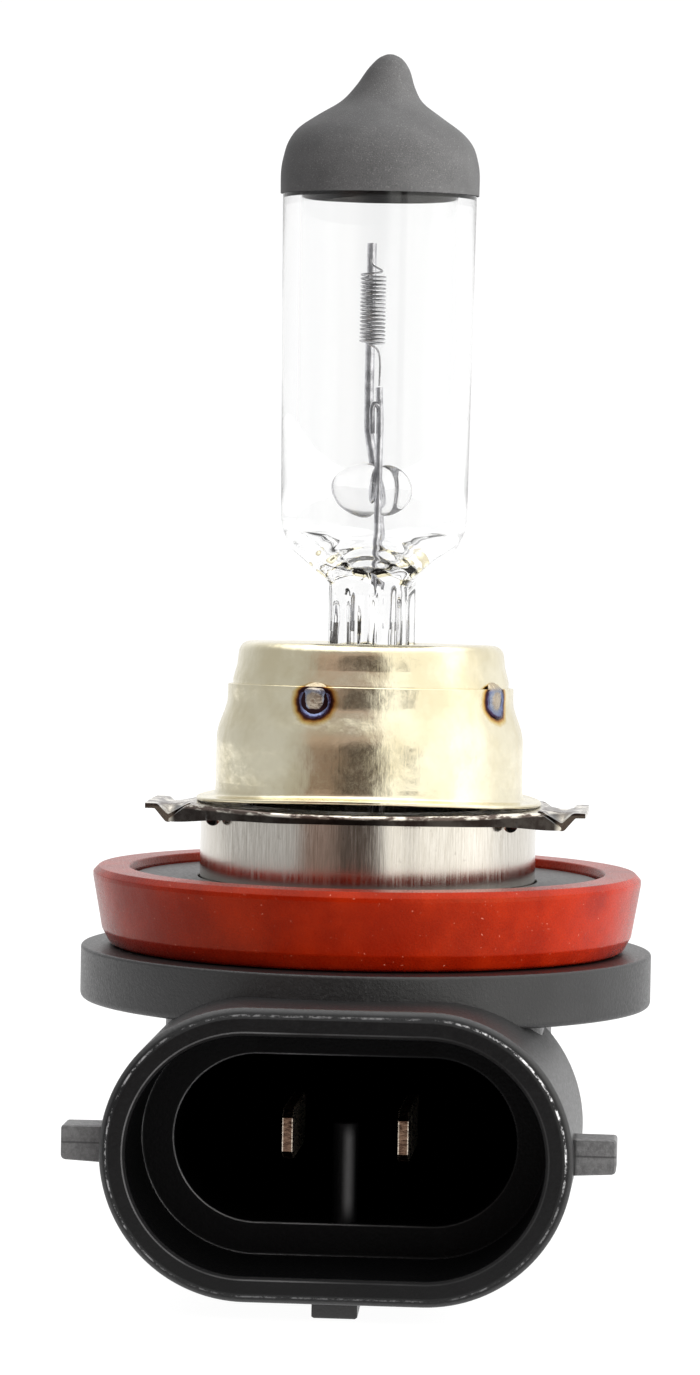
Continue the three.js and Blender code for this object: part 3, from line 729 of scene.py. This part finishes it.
def neck_rings():
    """From the foot of the pinch up to the round tube."""
    rings = []
    half_x = spline([(PINCH_HALF_X, NECK), (2.6, 13.9), (3.4, 14.45), (4.5, 15.35), (5.1, 16.4),
                     (TUBE_RADIUS_LOW, TUBE_BASE)], 8)
    for x, z in half_x:
        up = (z - NECK) / (TUBE_BASE - NECK)
        power = lerp(7, 2, smoothstep(0, 0.8, up))
        rings.append(rounded_section(x, lerp(PINCH_HALF_Y, TUBE_RADIUS_LOW, up), power, z))
    pinch = []
    for share in shares(40)[:-1]:
        z = lerp(GLASS.bottom, NECK, share)
        ring = rounded_section(PINCH_HALF_X, PINCH_HALF_Y, 7, z)
        pressed = smoothstep(NECK, NECK - 1.2, z)
        for point in ring:
            web = smoothstep(PINCH_RIB_Y, PINCH_RIB_Y - 0.6, abs(point.y))
            point.x *= lerp(1, PINCH_WEB / PINCH_HALF_X, web * pressed)
            end = smoothstep(PINCH_HALF_Y - 0.9, PINCH_HALF_Y - 0.3, abs(point.y))
            end *= smoothstep(NECK, NECK - 0.6, z)
            grooves = sum(math.exp(-((point.x - x) / 0.16) ** 2) for x in PRESS_GROOVES)
            dimple = 0.5 + 0.5 * noise.noise(point * 0.9)
            point.y *= 1 - end * (0.05 * grooves + 0.035 * dimple)
        pinch.append(ring)
    return pinch + rings


def cavity_rings():
    """The gas space: a round tube that closes downwards into a wedge along the pinch."""
    wedge = spline([(0.3, 13.85), (1.1, 14.0), (2.3, 14.35), (3.45, 15.1), (4.2, 16.1), (4.45, 17.1)], 8)
    floor = wedge[0].y
    rings = round_rings([(0, floor - 0.06)])
    for half_x, z in wedge:
        up = (z - floor) / (wedge[-1].y - floor)
        ring = rounded_section(half_x, lerp(3.75, 4.45, up), lerp(3.5, 2, smoothstep(0, 0.8, up)), z)
        for point in ring:
            fold = 1 - smoothstep(0.1, 0.8, up)
            point.z += 0.5 * fold * (point.y / 4) ** 2
            ripple = math.sin(10 * math.hypot(point.x, point.z - 12.6))
            point.y *= 1 + 0.018 * fold * ripple
        rings.append(ring)
    top = spline([(4.45, 36.2), (4.25, 37.5), (3.5, 38.7), (2.1, 39.45), (0.6, 39.7)], 5)
    return rings + round_rings([*top, (0, 39.72)])


def make_glass(glass):
    rings = neck_rings()
    tube_top = COATING.bottom - 0.12
    heights = [(share, lerp(TUBE_BASE, tube_top, share)) for share in shares(12)[1:]]
    rings += round_rings((lerp(TUBE_RADIUS_LOW, TUBE_RADIUS_HIGH, share), z)
                         for share, z in [*heights, (1, tube_top + 0.03), (1, tube_top + 0.06)])
    under_paint = inset(cap_profile(), COATING_THICKNESS + GLASS_GAP)[1:]
    under_paint[-1].x = 0
    outside = skin([*round_rings([(0, GLASS.bottom)]), *rings, *round_rings(under_paint)])
    obj = from_bmesh(hollowed(lean(outside), skin(cavity_rings())))
    finish_piece(obj, "capsule_glass", "glass_envelope", glass, sharp=60)


# ---------------------------------------------------------------- filament and its supports

def make_coil(metal):
    """Fine wire in close turns, with a leg down to the short support and one back to the long one."""
    wire, outer = 0.058, 0.735                 # radius of the wire, and of the coil over the wire
    turns, per_turn = 18, 40
    bottom, top, x = 27.0, 31.0, -0.28         # the turns' ends, and how far left the coil stands
    radius = outer - wire
    helix = []
    for share in shares(turns * per_turn):
        angle = -math.pi / 2 + 2 * math.pi * turns * share
        z = lerp(bottom, top, share)
        helix.append(Vector((x + radius * math.cos(angle), radius * math.sin(angle), z)))
    low_leg = spline([
        (0.18, -0.3, COIL.bottom), (0.2, -0.32, 25.8), (0.14, -0.4, 26.4), (-0.02, -0.58, 26.76),
        helix[0] - Vector((0.12, 0, 0.02)), helix[0]], 8)
    high_leg = spline([
        helix[-1], helix[-1] + Vector((0.14, 0.04, 0.03)), (0.16, -0.38, 31.1), (0.2, 0.1, 31.2),
        (-0.05, 0.5, 31.34), (-0.34, 0.74, 31.5), (-0.46, 0.79, 31.7), (-0.48, 0.79, COIL.top)], 8)
    path = [*low_leg[:-1], *helix, *high_leg[1:]]
    obj = from_bmesh(tube(path, wire, 10))
    finish_piece(obj, "coiled_filament", "filament_coil", metal)


def make_supports(metal):
    """Two wires. The short one has a hook at its top and is flattened inside the bead."""
    long_route = spline([
        (0.38, 2.2, 10.9), (0.38, 2.2, 12.6), (0.36, 1.75, 15), (0.2, 1.2, 17.2), (0.02, 1.08, 18.7),
        (-0.2, 1.08, 20.5), (-0.4, 1.1, 21.6), (-0.48, 1.12, 22.8), (-0.48, 1.12, 28),
        (-0.48, 1.12, LONG_SUPPORT.top)], 10)
    short_route = spline([
        (0.31, -2.2, 10.9), (0.31, -2.2, 12.6), (0.3, -1.7, 15), (0.29, -1.15, 17.2), (0.28, -1, 18.7),
        (0.28, -0.95, 20.6), (0.29, -0.75, 22.3), (0.25, -0.5, 23.3), (0.2, -0.32, 23.9),
        (0.18, -0.3, SHORT_SUPPORT.top)], 10)
    hook_route = spline([
        (0.24, -0.5, 23.2), (0.12, -0.55, 23.5), (-0.08, -0.6, 23.55), (-0.18, -0.62, 23.2),
        (-0.16, -0.6, 22.5), (-0.14, -0.6, 21.9)], 8)
    long_rod = from_bmesh(tube(long_route, 0.27, 20))
    flat = ball(24, 16)
    for vert in flat.verts:
        x, y, z = vert.co
        vert.co = Vector((0.1 + 0.33 * x + 0.2 * z, -0.95 + 0.26 * y, 19.1 + 1.1 * z))
    tools = [from_bmesh(tube(hook_route, 0.15, 16)), from_bmesh(flat)]
    short_rod = combine(from_bmesh(tube(short_route, 0.2, 20)), tools, "UNION")
    for rod, name in ((long_rod, "long_support"), (short_rod, "short_support")):
        finish_piece(rod, f"{name}_rod", f"{name}_wire", metal)


def make_bead(glass):
    """The bead that holds the two supports apart, flowed a little down each of them."""
    bm = ball(48, 32)
    for vert in bm.verts:
        waist = 1 - 0.2 * math.exp(-((vert.co.x - 0.06) / 0.16) ** 2)
        swell = waist * (0.95 + 0.05 * noise.noise(vert.co * 1.4) - 0.05 * vert.co.x)
        vert.co.y *= lerp(1, 0.4, smoothstep(0, 0.7, vert.co.x))
        vert.co = BEAD.middle + vert.co * BEAD.half * swell
    obj = from_bmesh(bm)
    finish_piece(obj, "bridge_bead", "glass_bridge_bead", glass, sharp=80)


def make_foils(metal):
    """Two thin foils that carry the current through the pinch."""
    for end in ("front", "back"):
        place = Extent(f"sealing_foil_{end}")
        rows = []
        for share in shares(24):
            z = lerp(place.bottom, place.top - 1.2, share)
            taper = min(1, 0.55 + 0.9 * math.sin(math.pi * share))
            section = rounded_section(place.half.x, place.half.y * taper, 2, z, 24)
            rows.append([point + Vector((0, place.middle.y, 0)) for point in section])
        ends = [[sum(row, Vector()) / len(row)] for row in (rows[0], rows[-1])]
        obj = from_bmesh(skin([ends[0], *rows, ends[1]]))
        finish_piece(obj, f"current_foil_{end}", f"sealing_foil_{end}", metal)


# ---------------------------------------------------------------- burner holder

def weld_points():
    return [around(math.radians(degrees), SLEEVE_RIM, WELD_Z) for degrees in WELD_ANGLES]


def mark_welds(obj, points):
    """Stores each vertex's distance from the nearest weld, for the heat tint."""
    attribute = obj.data.attributes.new("weld_distance", "FLOAT", "POINT")
    for vert, value in zip(obj.data.vertices, attribute.data):
        value.value = min((vert.co - p).length for p in points)
    return obj


def make_cup(metal):
    """The deep-drawn cup round the pinch, with a slot in its crown for the glass."""
    wall = 0.25
    radius, crown = CUP.radius, CUP.top
    outside = divided(rounded([
        (radius, CUP.bottom), (radius, 8.05, 0.35), (7.58, 8.85, 0.5), (7.45, crown, 0.75),
        (5.2, crown)]), 0.3)
    inside = divided(rounded([
        (5.2, crown - wall), (7.2, crown - wall, 0.5), (7.33, 8.8, 0.4), (radius - wall, 8.0, 0.3),
        (radius - wall, CUP.bottom)]), 0.5)
    slot = [(2.6, 4.95, crown), (2.48, 4.82, crown - 0.03), (2.4, 4.74, crown - 0.12),
            (2.4, 4.74, crown - wall)]
    slot_rings = [rounded_section(half_x, half_y, 6, z) for half_x, half_y, z in slot]
    bm = skin([*round_rings(outside), *slot_rings, *round_rings(inside)], looped=True)
    ruffle(bm, 0.06, 5, 3)
    for vert in bm.verts:
        tilt = CROWN_TILT * (vert.co.y + radius) / (2 * radius)
        uneven = 0.04 * (1 + noise.noise(vert.co / 4 + Vector((9, 0, 0))))
        vert.co.z -= smoothstep(8.8, 10.2, vert.co.z) * (tilt + uneven)
    obj = mark_welds(from_bmesh(bm), weld_points())
    finish_piece(obj, "holder_cup", "burner_holder_cup", metal)


def arch(bm, radius):
    """The flange stands on the lug ring at the two lugs and arches clear of it between them."""
    height, level, fade = 0.5, 2.6, 1.1
    for vert in bm.verts:
        low = min(max((level - vert.co.z) / fade, 0), 1)
        vert.co.z += height * low * max(0, 1 - (vert.co.x / radius) ** 2)
    return bm


def make_sleeve(metal):
    """The sleeve that sets the burner's height: it is welded to the cup and stands on the lug ring."""
    radius, foot, top = SLEEVE.radius, SLEEVE.bottom, SLEEVE.top
    wall = 0.2
    profile = rounded([
        (radius, foot, 0.08), (radius, foot + wall, 0.08), (8.72, foot + wall + 0.03, 0.3),
        (8.68, 2.2, 0.4), (8.66, 5.1, 4.0), (8.2, 6.3, 2.0), (8.06, 6.75, 1.5), (SLEEVE_RIM, top, 0.07),
        (SLEEVE_RIM - wall, top, 0.07), (8.06 - wall, 6.7, 1.0), (8.2 - wall, 6.25, 1.0),
        (8.66 - wall, 5.05, 4.0), (8.48, 2.2, 0.4), (8.5, foot, 0.3)], closed=True)
    bm = turned(divided(profile, 0.25, closed=True), ROUND_FINE, looped=True)
    arch(ruffle(bm, 0.05, 6, 7), radius)
    for vert in bm.verts:
        tilt = SLEEVE_TILT * (vert.co.y + SLEEVE_RIM) / (2 * SLEEVE_RIM)
        vert.co.z -= smoothstep(6.9, 7.7, vert.co.z) * tilt
    obj = mark_welds(from_bmesh(bm), weld_points())
    finish_piece(obj, "height_sleeve", "adjusting_sleeve", metal)


def weld_height(u, v):
    """Height of a weld pool over the sheet at a place in it, both within one radius of its middle."""
    reach = math.hypot(u, v)
    open_top = smoothstep(0.25, 0.7, v)
    rim = math.exp(-((reach - 0.86) / 0.13) ** 2) * (1 - open_top)
    nugget = math.exp(-((u / 0.52) ** 4 + ((v - 0.2) / 0.62) ** 4))
    ripple = 0.3 * noise.noise(Vector((u * 4, v * 5, 2.5)))
    return 0.07 * rim + 0.15 * nugget * (1 + ripple) - 0.02


def make_welds(metal):
    """Each pool is a shallow blister over the sleeve's upper edge, with a raised rim and middle."""
    for number, degrees in enumerate(WELD_ANGLES, start=1):
        middle = math.radians(degrees)

        def on_sheet(u, v, height):
            z = WELD_Z + v * WELD_RADIUS
            edge = SLEEVE.top - 0.2
            radius = lerp(SLEEVE_RIM, CUP.radius, smoothstep(edge, edge + 0.4, z)) + height
            radius += 0.22 * smoothstep(6.95, 6.1, z)
            return around(middle + u * WELD_RADIUS / SLEEVE_RIM, radius, z)

        steps, underside = 72, -0.1
        rings = [[on_sheet(0, 0, weld_height(0, 0))]]
        for reach in shares(16)[1:]:
            fade = 1 - smoothstep(0.94, 1, reach)
            rings.append([on_sheet(p.x, p.y, weld_height(p.x, p.y) * fade - 0.02 * (1 - fade))
                          for p in circle(reach, steps)])
        rings.append([on_sheet(p.x, p.y, underside) for p in circle(0.95, steps)])
        rings.append([on_sheet(0, 0, underside)])
        obj = from_bmesh(skin(rings))
        mark_welds(obj, [on_sheet(0, 0, 0)])
        finish_piece(obj, f"weld_pool_{number}", f"laser_weld_{number}", metal)


# ---------------------------------------------------------------- cap

LUG_SHEET = 0.28


def lug_strip(side):
    """A strip with a flat tip, folded down to the reference plane at both of its sides."""
    top, half_width = LUGS.top, 3.3
    tip_top = 1.0
    upper = [(8.6, top), (9.9, top, 0.5), (11.08, 0.4, 0.16), (11.72, tip_top, 0.3), (12.42, tip_top)]
    lower = [(12.42, tip_top - LUG_SHEET), (11.86, tip_top - LUG_SHEET, 0.12), (11.2, LUGS.bottom, 0.3),
             (10.95, LUGS.bottom, 0.3), (9.8, top - LUG_SHEET, 0.4), (8.6, top - LUG_SHEET)]
    profile = divided([*rounded(upper), *rounded(lower)], 0.2, closed=True)
    start, valley, end = 9.9, 11.08, 11.74     # where the fold runs down, is lowest and comes up again
    rings = []
    for share in shares(28):
        y = lerp(-half_width, half_width, share)
        pull = 0.05 * (y / half_width) ** 2
        filled = 0.72 * (1 - smoothstep(1.2, 2.9, abs(y)))
        ring = []
        for x, z in profile:
            fold = max(0, min((x - start) / (valley - start), (end - x) / (end - valley)))
            z += filled * fold * (top - 0.4)
            uneven = 0.05 * noise.noise(Vector((x / 2, y / 2.5, side * 4)))
            out = smoothstep(10.5, 12.4, x)
            ring.append(Vector((side * (x - pull * out), y, z + uneven * out)))
        rings.append(ring)
    return strip_between(rings)


def strip_between(rings):
    """A prism whose end faces are single flat polygons."""
    bm = skin(rings)
    bm.verts.ensure_lookup_table()
    count = len(rings[0])
    first = [bm.verts[i] for i in range(count)]
    last = [bm.verts[i] for i in range(len(bm.verts) - count, len(bm.verts))]
    bm.faces.new(first)
    bm.faces.new(last)
    bmesh.ops.recalc_face_normals(bm, faces=bm.faces)
    return bm


def gusset(side, front):
    """The turned-down edge between the round rim and a lug, with the plate behind it."""
    top, bottom = LUGS.top, LUGS.bottom
    on_rim, on_lug = Vector((7.3, 7.15)), Vector((11.08, 3.25))
    inward = Vector((-0.69, -0.72)) * LUG_SHEET
    rings = []
    for share in shares(16):
        outer = on_rim.lerp(on_lug, share)
        inner = outer + inward
        low = lerp(0.4, bottom + 0.03, smoothstep(0, 1, share))
        high = lerp(top, bottom + 0.3, smoothstep(9.7, 11.3, outer.x) * 1.1)
        bevel = (outer.lerp(inner, 0.35), high)
        section = [(outer, low), (outer, high - 0.1), bevel, (inner, high), (inner, low)]
        rings.append([Vector((side * p.x, front * p.y, z)) for p, z in section])
    plate = [(6.6, 6.4), (7.3, 7.12), (9.75, 4.6), (9.75, 0), (6.6, 0)]
    levels = [[Vector((side * x, front * y, z)) for x, y in plate] for z in (top - LUG_SHEET, top - 0.01)]
    return [strip_between(rings), strip_between(levels)]


def make_lug_ring(metal):
    """The pressed ring with its turned-down rim, its two folded lugs and the pips under it."""
    top, rim = LUGS.top, 10.25
    section = rounded([
        (7.4, top), (7.4, top - LUG_SHEET), (rim - 0.45, top - LUG_SHEET, 0.15),
        (rim - LUG_SHEET, 0.7, 0.1), (rim - LUG_SHEET, 0.4), (rim, 0.4), (rim, top, 0.22)], closed=True)
    bm = turned(divided(section, 0.3, closed=True), looped=True)
    for vert in bm.verts:
        if vert.co.z < 0.5:
            vert.co.z += 0.16 * max(0, 1 - (vert.co.x / 7.3) ** 2)
        vert.co.z += 0.03 * noise.noise(vert.co / 3)
    ring = from_bmesh(bm)
    tools = [from_bmesh(lug_strip(side)) for side in (-1, 1)]
    tools += [from_bmesh(bm) for side in (-1, 1) for front in (-1, 1) for bm in gusset(side, front)]
    pip_radius, pip_circle = 0.42, 10
    for side in (-1, 1):
        middle = around(math.radians(56 * side), pip_circle, pip_radius)
        pip = ball(24, 16)
        for vert in pip.verts:
            vert.co = vert.co * pip_radius + middle
        tools.append(from_bmesh(pip))
    obj = combine(ring, tools, "UNION")
    finish_piece(obj, "pressed_lug_ring", "lug_ring", metal, weighted=True)


def make_cap_ring(metal):
    wall = 0.3
    radius = CAP.radius
    profile = rounded([
        (radius - wall, CAP.bottom), (radius, CAP.bottom), (radius, CAP.top, 0.08),
        (radius - wall, CAP.top, 0.08)], closed=True)
    bm = ruffle(turned(divided(profile, 0.4, closed=True), looped=True), 0.03, 6, 11)
    finish_piece(from_bmesh(bm), "brushed_cap_ring", "cap_ring", metal)


# ---------------------------------------------------------------- seal and base

def make_seal(rubber):
    """A lip seal that flares upwards, with a flat land on top."""
    bore, foot = 13.3, 15.0
    radius, bottom, top = SEAL.radius, SEAL.bottom, SEAL.top
    profile = rounded([
        (bore, bottom, 0.2), (foot - 0.5, bottom, 0.5), (foot, bottom + 0.9, 0.5),
        (radius, top - 0.55, 0.1), (radius, top - 0.32, 0.08), (radius - 0.3, top, 0.1),
        (bore + 0.15, top, 0.15), (bore, top - 0.4, 0.2)], closed=True)
    bm = turned(divided(profile, 0.35, closed=True), ROUND_FINE, looped=True)
    ruffle(bm, 0.05, 4, 21)
    finish_piece(from_bmesh(bm), "lip_seal", "sealing_ring", rubber, body="seal")


def along_y(u, v, w):
    """Places an outline that is seen from the connector's mouth."""
    return Vector((u, w, SHROUD_Z + v))


def flange_and_collar():
    radius, top, bottom = BASE_FLANGE
    collar, collar_top, boss_top = 13.2, SEAL.top - 0.5, -1.6
    inner, outer = CAP.radius - 0.4, CAP.radius + 0.1
    groove = CAP.bottom - 0.05
    profile = rounded([
        (0, bottom), (radius, bottom, 0.35), (radius, top, 0.2), (collar, top), (collar, collar_top, 0.15),
        (outer, collar_top, 0.1), (outer, groove), (inner, groove), (inner, boss_top), (0, boss_top)])
    return turned(divided(profile, 2.0))


def along_shroud(corners):
    """A profile of (distance from the shroud's spine, y) swept round the spine."""
    return swept([(-SHROUD_HALF, 0), (SHROUD_HALF, 0)], rounded(corners), 64, along_y)


def shroud_solid():
    back = -4.5
    return along_shroud([
        (SHROUD_RADIUS - 0.4, back), (SHROUD_RADIUS, back), (SHROUD_RADIUS, MOUTH + 0.5, 0.35),
        (SHROUD_RADIUS - 0.55, MOUTH, 0.12), (SOCKET_RADIUS - 0.6, MOUTH)])


def socket_tool():
    """The space inside the shroud: a wide mouth, a shoulder, and a narrower, deeper well."""
    return along_shroud([
        (SOCKET_RADIUS + 1.2, MOUTH - 1.1), (SOCKET_RADIUS + 0.02, MOUTH + 0.06, 0.25),
        (SOCKET_RADIUS, SHOULDER, 0.12), (INNER_RADIUS, SHOULDER, 0.18), (INNER_RADIUS - 0.05, INNER_END)])


def twist_tab(side):
    """A rib on the side of the shroud, with the mould's parting line round its middle."""
    inner, reach, half = 11, 14.83, 1.03
    outline = rounded([(inner, half), (reach, half - 0.02, 0.2), (reach, -half + 0.2, 0.3), (inner, -half)])
    levels = [(-19.0, 0.94), (-18.93, 1.0), (-16.7, 1.0)]
    rings = []
    for y, scale in levels:
        spread = 1 - (1 - scale) * 0.4
        rings.append([Vector((side * lerp(inner, u, spread), y, TAB_Z + v * scale)) for u, v in outline])
    return strip_between(rings)


def latch_ramp():
    """The ramp under the shroud that the plug's latch clicks over."""
    half_x, drop = 1.22, 0.95
    bottom = SHROUD_Z - SHROUD_RADIUS
    side = rounded([
        (-13.2, bottom + 1), (-13.2, bottom), (-18.9, bottom - drop, 0.2), (-19.2, bottom - drop, 0.2),
        (-19.2, bottom + 1)], closed=True)
    rows = [(-half_x, 0.92), (-half_x + 0.12, 1.0), (half_x - 0.12, 1.0), (half_x, 0.92)]
    rings = [[Vector((x, y, bottom + (z - bottom) * scale)) for y, z in side] for x, scale in rows]
    return strip_between(rings)


def key_rib():
    """The upright partition between the terminals, with a rounded front edge."""
    half = 0.75
    low, high = SHROUD_Z - INNER_RADIUS - 0.5, SHROUD_Z + 0.95
    spine = [(0, SHOULDER + half), (0, -4.5)]
    profile = rounded([(half, low), (half, high, 0.25), (half - 0.3, high)])
    return swept(spine, profile, 12)


def make_base(plastic):
    """The moulded base: flange, collar, body and connector shroud in one piece."""
    body = rounded_block((-10.4, -12.5, BASE_BOTTOM), (10.4, 9.5, -9.0), 4, 0.6, 16)
    base = from_bmesh(flange_and_collar())
    solids = [body, shroud_solid(), latch_ramp(), *[twist_tab(side) for side in (-1, 1)]]
    combine(base, [from_bmesh(bm) for bm in solids], "UNION")
    front, back = WELL_Y
    well = rounded_block((-WELL_HALF_X, front, BASE_BOTTOM - 1), (WELL_HALF_X, back, -0.5), 1.5, 0.2)
    gap = 0.1
    low, high = COVER.low, COVER.high
    recess = rounded_block((low.x - gap, low.y - gap, BASE_BOTTOM - 1),
                           (high.x + gap, high.y + gap, high.z + gap), 2.5, 0.05, 12)
    combine(base, [from_bmesh(bm) for bm in (socket_tool(), well, recess)], "DIFFERENCE")
    combine(base, [from_bmesh(key_rib())], "UNION")
    finish_piece(base, "moulded_base", "base_housing", plastic, weighted=True)


def make_cover(plastic):
    plate = from_bmesh(rounded_block(COVER.low, COVER.high, 2.4, 0.12, 12))
    finish_piece(plate, "closing_plate", "rear_cover", plastic, weighted=True)


def make_terminals(metal):
    """Two flat blades with tapered, sheared tips."""
    for name in ("left", "right"):
        place = Extent(f"terminal_{name}")
        z, front = TERMINAL_Z, place.low.y
        half, tip_half, taper = 1.4, 0.92, 0.8
        wall = WELL_Y[0]
        back, bottom, top = place.high.y, place.bottom, place.top
        outline = rounded([
            (front, z - tip_half, 0.08), (front + taper, z - half, 0.3), (wall, z - half),
            (wall, bottom), (back, bottom), (back, top), (wall, top),
            (wall, z + half), (front + taper, z + half, 0.3), (front, z + tip_half, 0.08)], closed=True)
        left, right = place.low.x + 0.07, place.high.x - 0.07
        columns = [(left, 0.97), (left + 0.05, 1), (right - 0.05, 1), (right, 0.97)]
        rings = [[Vector((x, lerp(wall, y, scale), lerp(z, height, scale))) for y, height in outline]
                 for x, scale in columns]
        obj = from_bmesh(strip_between(rings))
        finish_piece(obj, f"blade_{name}", f"terminal_{name}", metal)


# ---------------------------------------------------------------- studio

def toward(azimuth, elevation):
    """A direction: azimuth in degrees from -Y towards +X, elevation above the horizon."""
    up = math.radians(elevation)
    return around(math.radians(azimuth), math.cos(up), math.sin(up))


def card(n, direction, azimuth, elevation, half_width, half_height, soft_sides=0.5, soft_ends=0.5):
    """1 inside a soft-edged rectangle of the sky and 0 outside it. Sizes are in degrees."""
    def along(axis):
        return n.add("ShaderNodeVectorMath", {0: direction, 1: axis}, out="Value", operation="DOT_PRODUCT")

    facing = toward(azimuth, elevation)
    right = toward(azimuth + 90, 0)
    up = facing.cross(right)
    masks = []
    for axis, half, soft in ((right, half_width, soft_sides), (up, half_height, soft_ends)):
        size = math.sin(math.radians(half))
        masks.append(n.span(n.math("ABSOLUTE", along(axis)), size * (1 + soft), size * (1 - soft)))
    return n.times(*masks, n.math("GREATER_THAN", along(facing), 0))


def make_surround():
    """A white tent that is dimmer in front, with lit panels, and a dark gap that only reflections show."""
    world = bpy.data.worlds.new("studio")
    bpy.context.scene.world = world
    n = Nodes(world)
    direction = n.add("ShaderNodeTexCoord", out="Generated")
    x, y, z = n.parts(direction)
    rays = n.tree.nodes.new("ShaderNodeLightPath").outputs
    diffuse, transmitted = rays["Is Diffuse Ray"], rays["Is Transmission Ray"]
    reflected = n.math("SUBTRACT", 1.0, transmitted)
    glossy = n.times(reflected, n.math("SUBTRACT", 1.0, diffuse))

    tent = n.mix(n.span(y, -0.7, 0.3), grey(0.3), grey(1.04))
    left = n.times(n.span(x, -0.1, -0.95), reflected)
    tent = n.mix(left, tent, n.mix(diffuse, grey(0.57), grey(0.29)))
    key = card(n, direction, 66, 18, 34, 38)
    tent = n.mix(key, tent, n.mix(diffuse, (1.7, 1.68, 1.62, 1), (6.5, 6.4, 6.2, 1)))
    tent = n.mix(n.span(z, 0.55, 0.85), tent, n.mix(diffuse, grey(2.3), grey(1.5)))
    panel = n.times(card(n, direction, 42, 10, 28, 40, 0.2), glossy)
    tent = n.mix(panel, tent, (1.4, 1.38, 1.32, 1))

    gap = n.times(card(n, direction, -18, 4, 26, 26, 0.25, 0.6), reflected)
    tent = n.mix(gap, tent, n.mix(n.span(z, -0.02, 0.2), (0.3, 0.22, 0.19, 1), (0.56, 0.44, 0.4, 1)))
    core = n.math("MAXIMUM", card(n, direction, -4, 0, 14, 14), card(n, direction, 33, 2, 4, 5))
    tent = n.mix(n.times(core, reflected), tent, (0.1, 0.08, 0.07, 1))

    ceiling = n.times(n.span(z, 0.45, 0.6), transmitted)
    tent = n.mix(ceiling, tent, grey(0.45))
    seen = n.mix(rays["Is Camera Ray"], tent, grey(1.05))
    background = n.add("ShaderNodeBackground", {"Color": seen, "Strength": 1.0})
    n.add("ShaderNodeOutputWorld", {"Surface": background})


def pale_floor(n):
    shade = n.mix(n.noise(0.02, 2), grey(0.1), grey(0.12))
    n.surface(shade, 0.9, None, {
        "Specular IOR Level": 0.1, "Emission Color": grey(1.0), "Emission Strength": 0.96})


def make_floor():
    """A pale round table just under the object, which ends a little in front of it."""
    radius, clear_front, drop = 330, 75, 0.05
    bm = bmesh.new()
    bmesh.ops.create_circle(bm, cap_ends=True, radius=radius, segments=96)
    for vert in bm.verts:
        vert.co.y += radius - clear_front
        vert.co.z = cad_box[0].z / MM - drop
    floor = from_bmesh(bm, "floor")
    floor.data.transform(Matrix.Scale(MM, 4))
    floor.data.materials.append(material(pale_floor))


def make_camera():
    """A long lens a little above the lugs and a little to the right of the connector's mouth."""
    azimuth, distance, height = 4.0, 300, 22.5
    aim_z, aside, roll, lens = 7.6, 1.18, 1.05, 139
    angle = math.radians(azimuth)
    spot = around(angle, distance, height)
    right = Vector((math.cos(angle), math.sin(angle), 0))
    aim = Vector((0, 0, aim_z)) - right * aside
    camera = bpy.data.objects.new("camera", bpy.data.cameras.new("camera"))
    camera.data.lens = lens
    camera.data.sensor_width = 36
    camera.data.clip_start = 0.01
    turn = (aim - spot).to_track_quat("-Z", "Y").to_matrix().to_4x4()
    tilt = Matrix.Rotation(math.radians(roll), 4, "Z")
    camera.matrix_world = Matrix.Translation(spot * MM) @ turn @ tilt
    bpy.context.scene.collection.objects.link(camera)
    bpy.context.scene.camera = camera


def paint_hidden(metal, steel):
    """The pieces that keep their CAD shape are inside the cup and the base."""
    for node, finish in (("burner_clip", steel), ("outer_lead_front", metal), ("outer_lead_back", metal)):
        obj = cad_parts[node]
        obj.data.materials.clear()
        obj.data.materials.append(finish)


# ---------------------------------------------------------------- the whole object

wire_metal = material(molybdenum)
nickel = material(nickel_plate)
plastic = material(black_plastic)
steel = material(bright_steel)

make_camera()
make_glass(material(clear_glass))
make_coating(material(opaque_paint))
make_coil(material(tungsten))
make_supports(wire_metal)
make_bead(material(bead_glass))
make_foils(material(foil_metal))
make_cup(nickel)
make_sleeve(nickel)
make_welds(material(weld_metal))
make_lug_ring(steel)
make_cap_ring(material(brushed_steel))
make_seal(material(silicone))
make_base(plastic)
make_cover(plastic)
make_terminals(material(tinned_brass))
paint_hidden(wire_metal, steel)
make_surround()
make_floor()

scene = bpy.context.scene
scene.view_settings.view_transform = "Standard"
scene.cycles.max_bounces = 16
scene.cycles.transmission_bounces = 16
scene.cycles.glossy_bounces = 6
